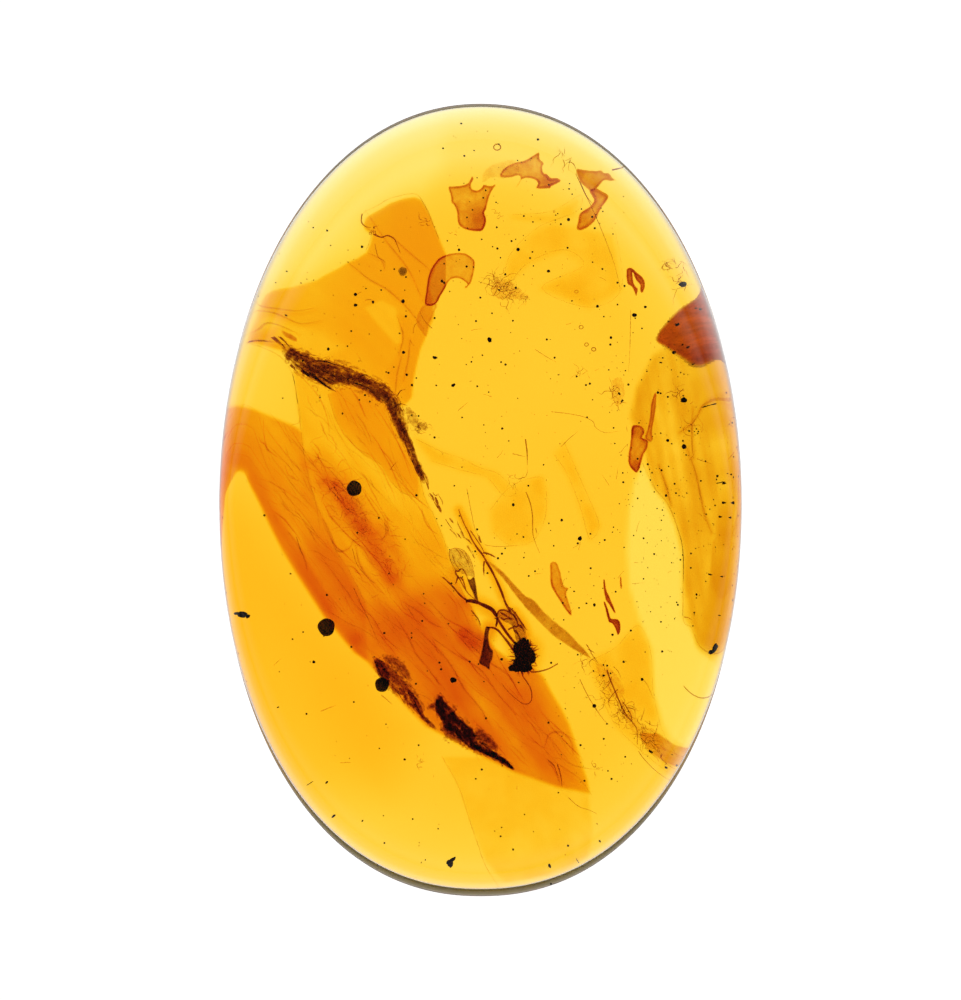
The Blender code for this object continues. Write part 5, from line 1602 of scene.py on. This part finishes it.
def make_hairs(material):
    """Hairs, tangles and loose fibres."""
    shapes = Shapes()
    chance = random.Random(51)
    for index, (line, radius) in enumerate(HAIRS):
        path = raised(line, 2.0 + 0.25 * math.sin(index * 1.7), 8)
        shapes.tube(path, tapered(len(path), radius, radius * 0.45, 0.4), 6)
    for (x, y), reach, count, radius in SCRIBBLES:
        for _ in range(count):
            angle = chance.uniform(0, 2 * math.pi)
            place = np.array([x + chance.gauss(0, reach * 0.4), y + chance.gauss(0, reach * 0.4),
                              2.1])
            points = [place]
            for _ in range(chance.randrange(3, 7)):
                angle += chance.uniform(-1.1, 1.1)
                step = reach * chance.uniform(0.18, 0.4)
                place = place + np.array([math.cos(angle) * step, math.sin(angle) * step,
                                          chance.uniform(-0.03, 0.03)])
                points.append(place)
            path = smooth_line(points, 4)
            shapes.tube(path, tapered(len(path), radius * chance.uniform(0.5, 1.1), 0.004, 0.4), 5)
    for count, low, high in FIBRE_FIELDS:
        for _ in range(count):
            x, y = chance.uniform(low[0], high[0]), chance.uniform(low[1], high[1])
            angle = chance.uniform(0, math.pi)
            length = chance.uniform(0.12, 0.4)
            bend = chance.uniform(-0.3, 0.3)
            line = [(x + length * t * math.cos(angle + bend * t),
                     y + length * t * math.sin(angle + bend * t))
                    for t in (-0.5, 0, 0.5)]
            if stone_share(np.array(x), np.array(y)) < FIBRE_REACH:
                path = raised(line, chance.uniform(1.0, 3.2), 5)
                shapes.tube(path, tapered(len(path), 0.009, 0.004, 0.3), 5)
    shapes.piece("fibres", material, "twig")


def make_specks(material, rim_shade_material):
    """Dark scraps, grains, and rings of painted shade for the dark edges of small bubbles."""
    shapes = Shapes()
    chance = random.Random(61)
    for centre, size, turn in DARK_SCRAPS:
        shapes.ball(centre, size, 0.45, round(centre[0] * 10), 10, 14, turn)
    for x, y, radius in DOTS:
        size = [2 * radius * chance.uniform(0.85, 1.15) for _ in range(3)]
        shapes.ball((x, y, chance.uniform(1.8, 2.6)), size, 0.2, chance.randrange(99), 7, 10)
    for count, low, high in SPECK_FIELDS:
        for _ in range(count):
            x, y = chance.uniform(low[0], high[0]), chance.uniform(low[1], high[1])
            radius = 0.012 + 0.028 * chance.random() ** 3
            if stone_share(np.array(x), np.array(y)) < SPECK_REACH:
                shapes.ball((x, y, chance.uniform(1.2, 3.4)), [2 * radius] * 3, 0.15, 1, 4, 6)
    shapes.piece("specks", material, "pellet")
    # The rings are painted shade: solid dark rings where a bubble's edge only looks dark.
    rings = Shapes()
    for x, y, radius, thick in RINGS:
        turn = np.linspace(0, 2 * math.pi, 25)[:-1]
        line = np.stack([x + radius * np.cos(turn), y + 0.85 * radius * np.sin(turn),
                         2.2 + 0 * turn], axis=1)
        rings.tube(np.concatenate([line, line[:1]]), thick, 6)
    rings.piece("bubble_rim_shade", rim_shade_material, "pellet")


def band_heading(y):
    """The band's own run, in degrees, which steepens toward its head end."""
    return -48 - 10 * ease((y + 2) / 5)


def make_flow_lines(red_material, amber_brown):
    """Hair-thin folds and stretched threads in the darker flows."""
    red, brown = Shapes(), Shapes()
    chance = random.Random(141)
    for line in VEIL_LINES:
        path = raised(line, 2.5, 8)
        brown.tube(path, swelling(path, 0.028, 0.1, 0.9), 6, THREAD_FLATNESS)
    for line in RIGHT_LINES[:4] + BAND_STREAKS:
        path = raised(line, 2.1, 8)
        brown.tube(path, swelling(path, 0.034, 0.08, 0.92), 6, THREAD_FLATNESS)
    for outline in (UPPER_VEIL[10:26], BAND_UPPER, LEFT_LOBE_EDGE, CLEAR_WINDOW[:6], RIGHT_ZONE[:8],
                    BELOW_TWIG[:8], LOWER_LOBE[:6], PALE_WEDGE[2:8]):
        path = raised(outline, 2.3, 6)
        brown.tube(path, 0.016, 6, THREAD_FLATNESS)
    for outline in CENTRE_VEILS:
        path = raised(outline, 2.8, 5)
        brown.tube(path, 0.011, THREAD_SIDES, THREAD_FLATNESS)
    band = np.array(BAND_LOWER + BAND_TIP + BAND_UPPER + BAND_LEFT)
    placed = 0
    while placed < BAND_THREADS:
        x, y = chance.uniform(-7.5, 3.2), chance.uniform(-8.6, 3.6)
        deep = inside_distance(np.array([x]), np.array([y]), band)[0]
        if deep < 0.25:
            continue
        placed += 1
        heading = math.radians(band_heading(y) + chance.gauss(0, 9))
        length = chance.uniform(0.5, 2.6)
        bend = chance.gauss(0, 0.25)
        line = []
        for t in np.linspace(-0.5, 0.5, 6):
            turn = heading + bend * t
            line.append((x + length * t * math.cos(turn), y + length * t * math.sin(turn)
                         + 0.03 * chance.gauss(0, 1), 2.0 + 0.2 * chance.random()))
        path = smooth_line(line, 4)
        radius = 0.007 + 0.024 * chance.random() ** 2
        target = red if chance.random() < 0.6 else brown
        target.tube(path, swelling(path, radius, 0.05, 0.95), THREAD_SIDES, THREAD_FLATNESS)
    for _ in range(CLOUD_THREADS):
        start = RED_CLOUD[chance.randrange(1, len(RED_CLOUD))]
        x, y = start[0] + chance.gauss(0, 0.3), start[1] + chance.gauss(0, 0.35)
        angle = chance.uniform(0, 2 * math.pi)
        points = [(x, y, 2.1)]
        for _ in range(4):
            angle += chance.uniform(-0.9, 0.9)
            x, y = x + 0.12 * math.cos(angle), y + 0.12 * math.sin(angle)
            points.append((x, y, 2.1))
        path = smooth_line(points, 3)
        red.tube(path, swelling(path, 0.016, 0.08, 0.92), THREAD_SIDES, THREAD_FLATNESS)
    red.piece("flow_threads", red_material, "resin_film")
    brown.piece("flow_folds", amber_brown, "resin_film")


def make_inclusions():
    """All that the amber holds."""
    chitin = scrap_material("chitin", (0.012, 0.006, 0.004), (0.07, 0.03, 0.015), 0.12, 0.35)
    limb = tint_material("limb_chitin", (0.76, 0.53, 0.3), 90000, (0.7, 0.5, 0.4), 0.08)
    membrane = tint_material("wing_membrane", (0.6, 0.4, 0.1), 30000, (0.75, 0.62, 0.5), 0.12)
    make_insect(chitin, limb, membrane)
    film = tint_material("resin_film", (0.89, 0.66, 0.0), 20000, (0.93, 0.86, 0.7), 0.18)
    red = tint_material("red_film", (0.87, 0.633, 0.0), 30000, (0.9, 0.75, 0.6), 0.12)
    olive = tint_material("olive_film", (0.84, 0.63, 0.0), 27000, (0.85, 0.8, 0.6), 0.15)
    make_films(film, red, olive)
    thread = tint_material("red_thread", (0.87, 0.62, 0.0), 30000, (0.9, 0.7, 0.6), 0.3)
    fold = tint_material("fold_line", (0.87, 0.66, 0.0), 16000, (0.85, 0.8, 0.7), 0.3)
    make_flow_lines(thread, fold)
    fibre = tint_material("bark_fibre", (0.85, 0.75, 0.4), 42000, (0.7, 0.55, 0.5), 0.08)
    shred = tint_material("plant_hair", (0.8, 0.62, 0.3), 95000, (0.6, 0.42, 0.25), 0.08)
    make_twig(fibre, shred)
    bud = tint_material("bud_husk", (0.82, 0.7, 0.4), 40000, (0.6, 0.45, 0.4), 0.1)
    leaf = tint_material("leaf_litter", (0.84, 0.7, 0.4), 32000, (0.6, 0.45, 0.4), 0.12)
    make_scraps(bud, leaf, shred)
    make_bark(tint_material("bark_flake", (0.9, 0.68, 0.1), 25000, (0.5, 0.42, 0.4), 0.35))
    pellet = scrap_material("frass_pellet", (0.07, 0.08, 0.05), (0.34, 0.36, 0.22), 0.1, 0.8)
    brown = tint_material("brown_pellet", (0.65, 0.6, 0.3), 14000, (0.7, 0.6, 0.5), 0.1)
    make_pellets(pellet, brown)
    make_hairs(shred)
    speck = scrap_material("dark_specks", (0.012, 0.008, 0.004), (0.06, 0.035, 0.015), 0.05, 0.8)
    make_specks(speck, shred)


# ---- floor, light and camera ----

def make_floor():
    """A pale table that glows under the stone, fades away from it and dims at glancing views."""
    mesh = bpy.data.meshes.new("floor")
    corners = [(x * TABLE_HALF, y * TABLE_HALF, -TABLE_DROP)
               for x, y in ((-1, -1), (1, -1), (1, 1), (-1, 1))]
    mesh.from_pydata(corners, [], [(0, 1, 2, 3)])
    floor = bpy.data.objects.new("floor", mesh)
    bpy.context.scene.collection.objects.link(floor)
    material, tree, shader = new_material("pale_table")
    set_inputs(shader, {"Base Color": TABLE_TONE, "Roughness": 0.9, "Specular IOR Level": 0})
    place = tree.nodes.new("ShaderNodeTexCoord")
    distance = add_node(tree, "ShaderNodeVectorMath", {"operation": "LENGTH"})
    tree.links.new(place.outputs["Object"], distance.inputs[0])
    fade = map_range(tree, distance.outputs["Value"], GLOW_RADIUS * MM, GLOW_FADE * MM,
                     GLOW, GLOW_FAR)
    view = tree.nodes.new("ShaderNodeLayerWeight")
    view.inputs["Blend"].default_value = 0.5
    glance = map_range(tree, view.outputs["Facing"], GLANCE_START, GLANCE_END, 1, GLANCE_GLOW)
    strength = add_node(tree, "ShaderNodeMath", {"operation": "MULTIPLY"})
    tree.links.new(fade, strength.inputs[0])
    tree.links.new(glance, strength.inputs[1])
    shader.inputs["Emission Color"].default_value = (1, 1, 1, 1)
    tree.links.new(strength.outputs["Value"], shader.inputs["Emission Strength"])
    mesh.materials.append(material)
    material.cycles.emission_sampling = "NONE"


def make_lights():
    """A soft band of light round the stone, brighter by its head, and little light overhead."""
    world = bpy.data.worlds.new("studio")
    bpy.context.scene.world = world
    world.use_nodes = True
    world.cycles.sampling_method = "NONE"
    tree = world.node_tree
    place = tree.nodes.new("ShaderNodeTexCoord")
    parts = tree.nodes.new("ShaderNodeSeparateXYZ")
    tree.links.new(place.outputs["Generated"], parts.inputs["Vector"])
    ring = colour_ramp(tree, parts.outputs["Z"], [
        (0.0, (HORIZON,) * 3), (RING_TOP, (1, 1, 1)), (RING_FADE, (OVERHEAD,) * 3)])
    facing = map_range(tree, parts.outputs["Y"], -0.3, 0.7, RING_FOOT, RING_HEAD)
    tree.links.new(ring.outputs["Color"], tree.nodes["Background"].inputs["Color"])
    tree.links.new(facing, tree.nodes["Background"].inputs["Strength"])


def make_camera():
    """A long lens straight over the stone."""
    data = bpy.data.cameras.new("camera")
    data.lens = CAMERA_LENS
    data.sensor_width = CAMERA_SENSOR
    data.clip_start = 0.001
    camera = bpy.data.objects.new("camera", data)
    bpy.context.scene.collection.objects.link(camera)
    tilt = math.radians(CAMERA_TILT)
    away = Vector((0, -math.sin(tilt), math.cos(tilt)))
    distance = FRAME_HEIGHT * MM * CAMERA_LENS / CAMERA_SENSOR
    camera.location = Vector(AIM) * MM + away * distance
    camera.rotation_euler = (tilt, 0, 0)
    bpy.context.scene.camera = camera


def main():
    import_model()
    make_amber(amber_material(), wall_material())
    make_tints()
    make_inclusions()
    make_floor()
    make_lights()
    make_camera()
    bpy.context.scene.view_settings.view_transform = "Standard"


main()
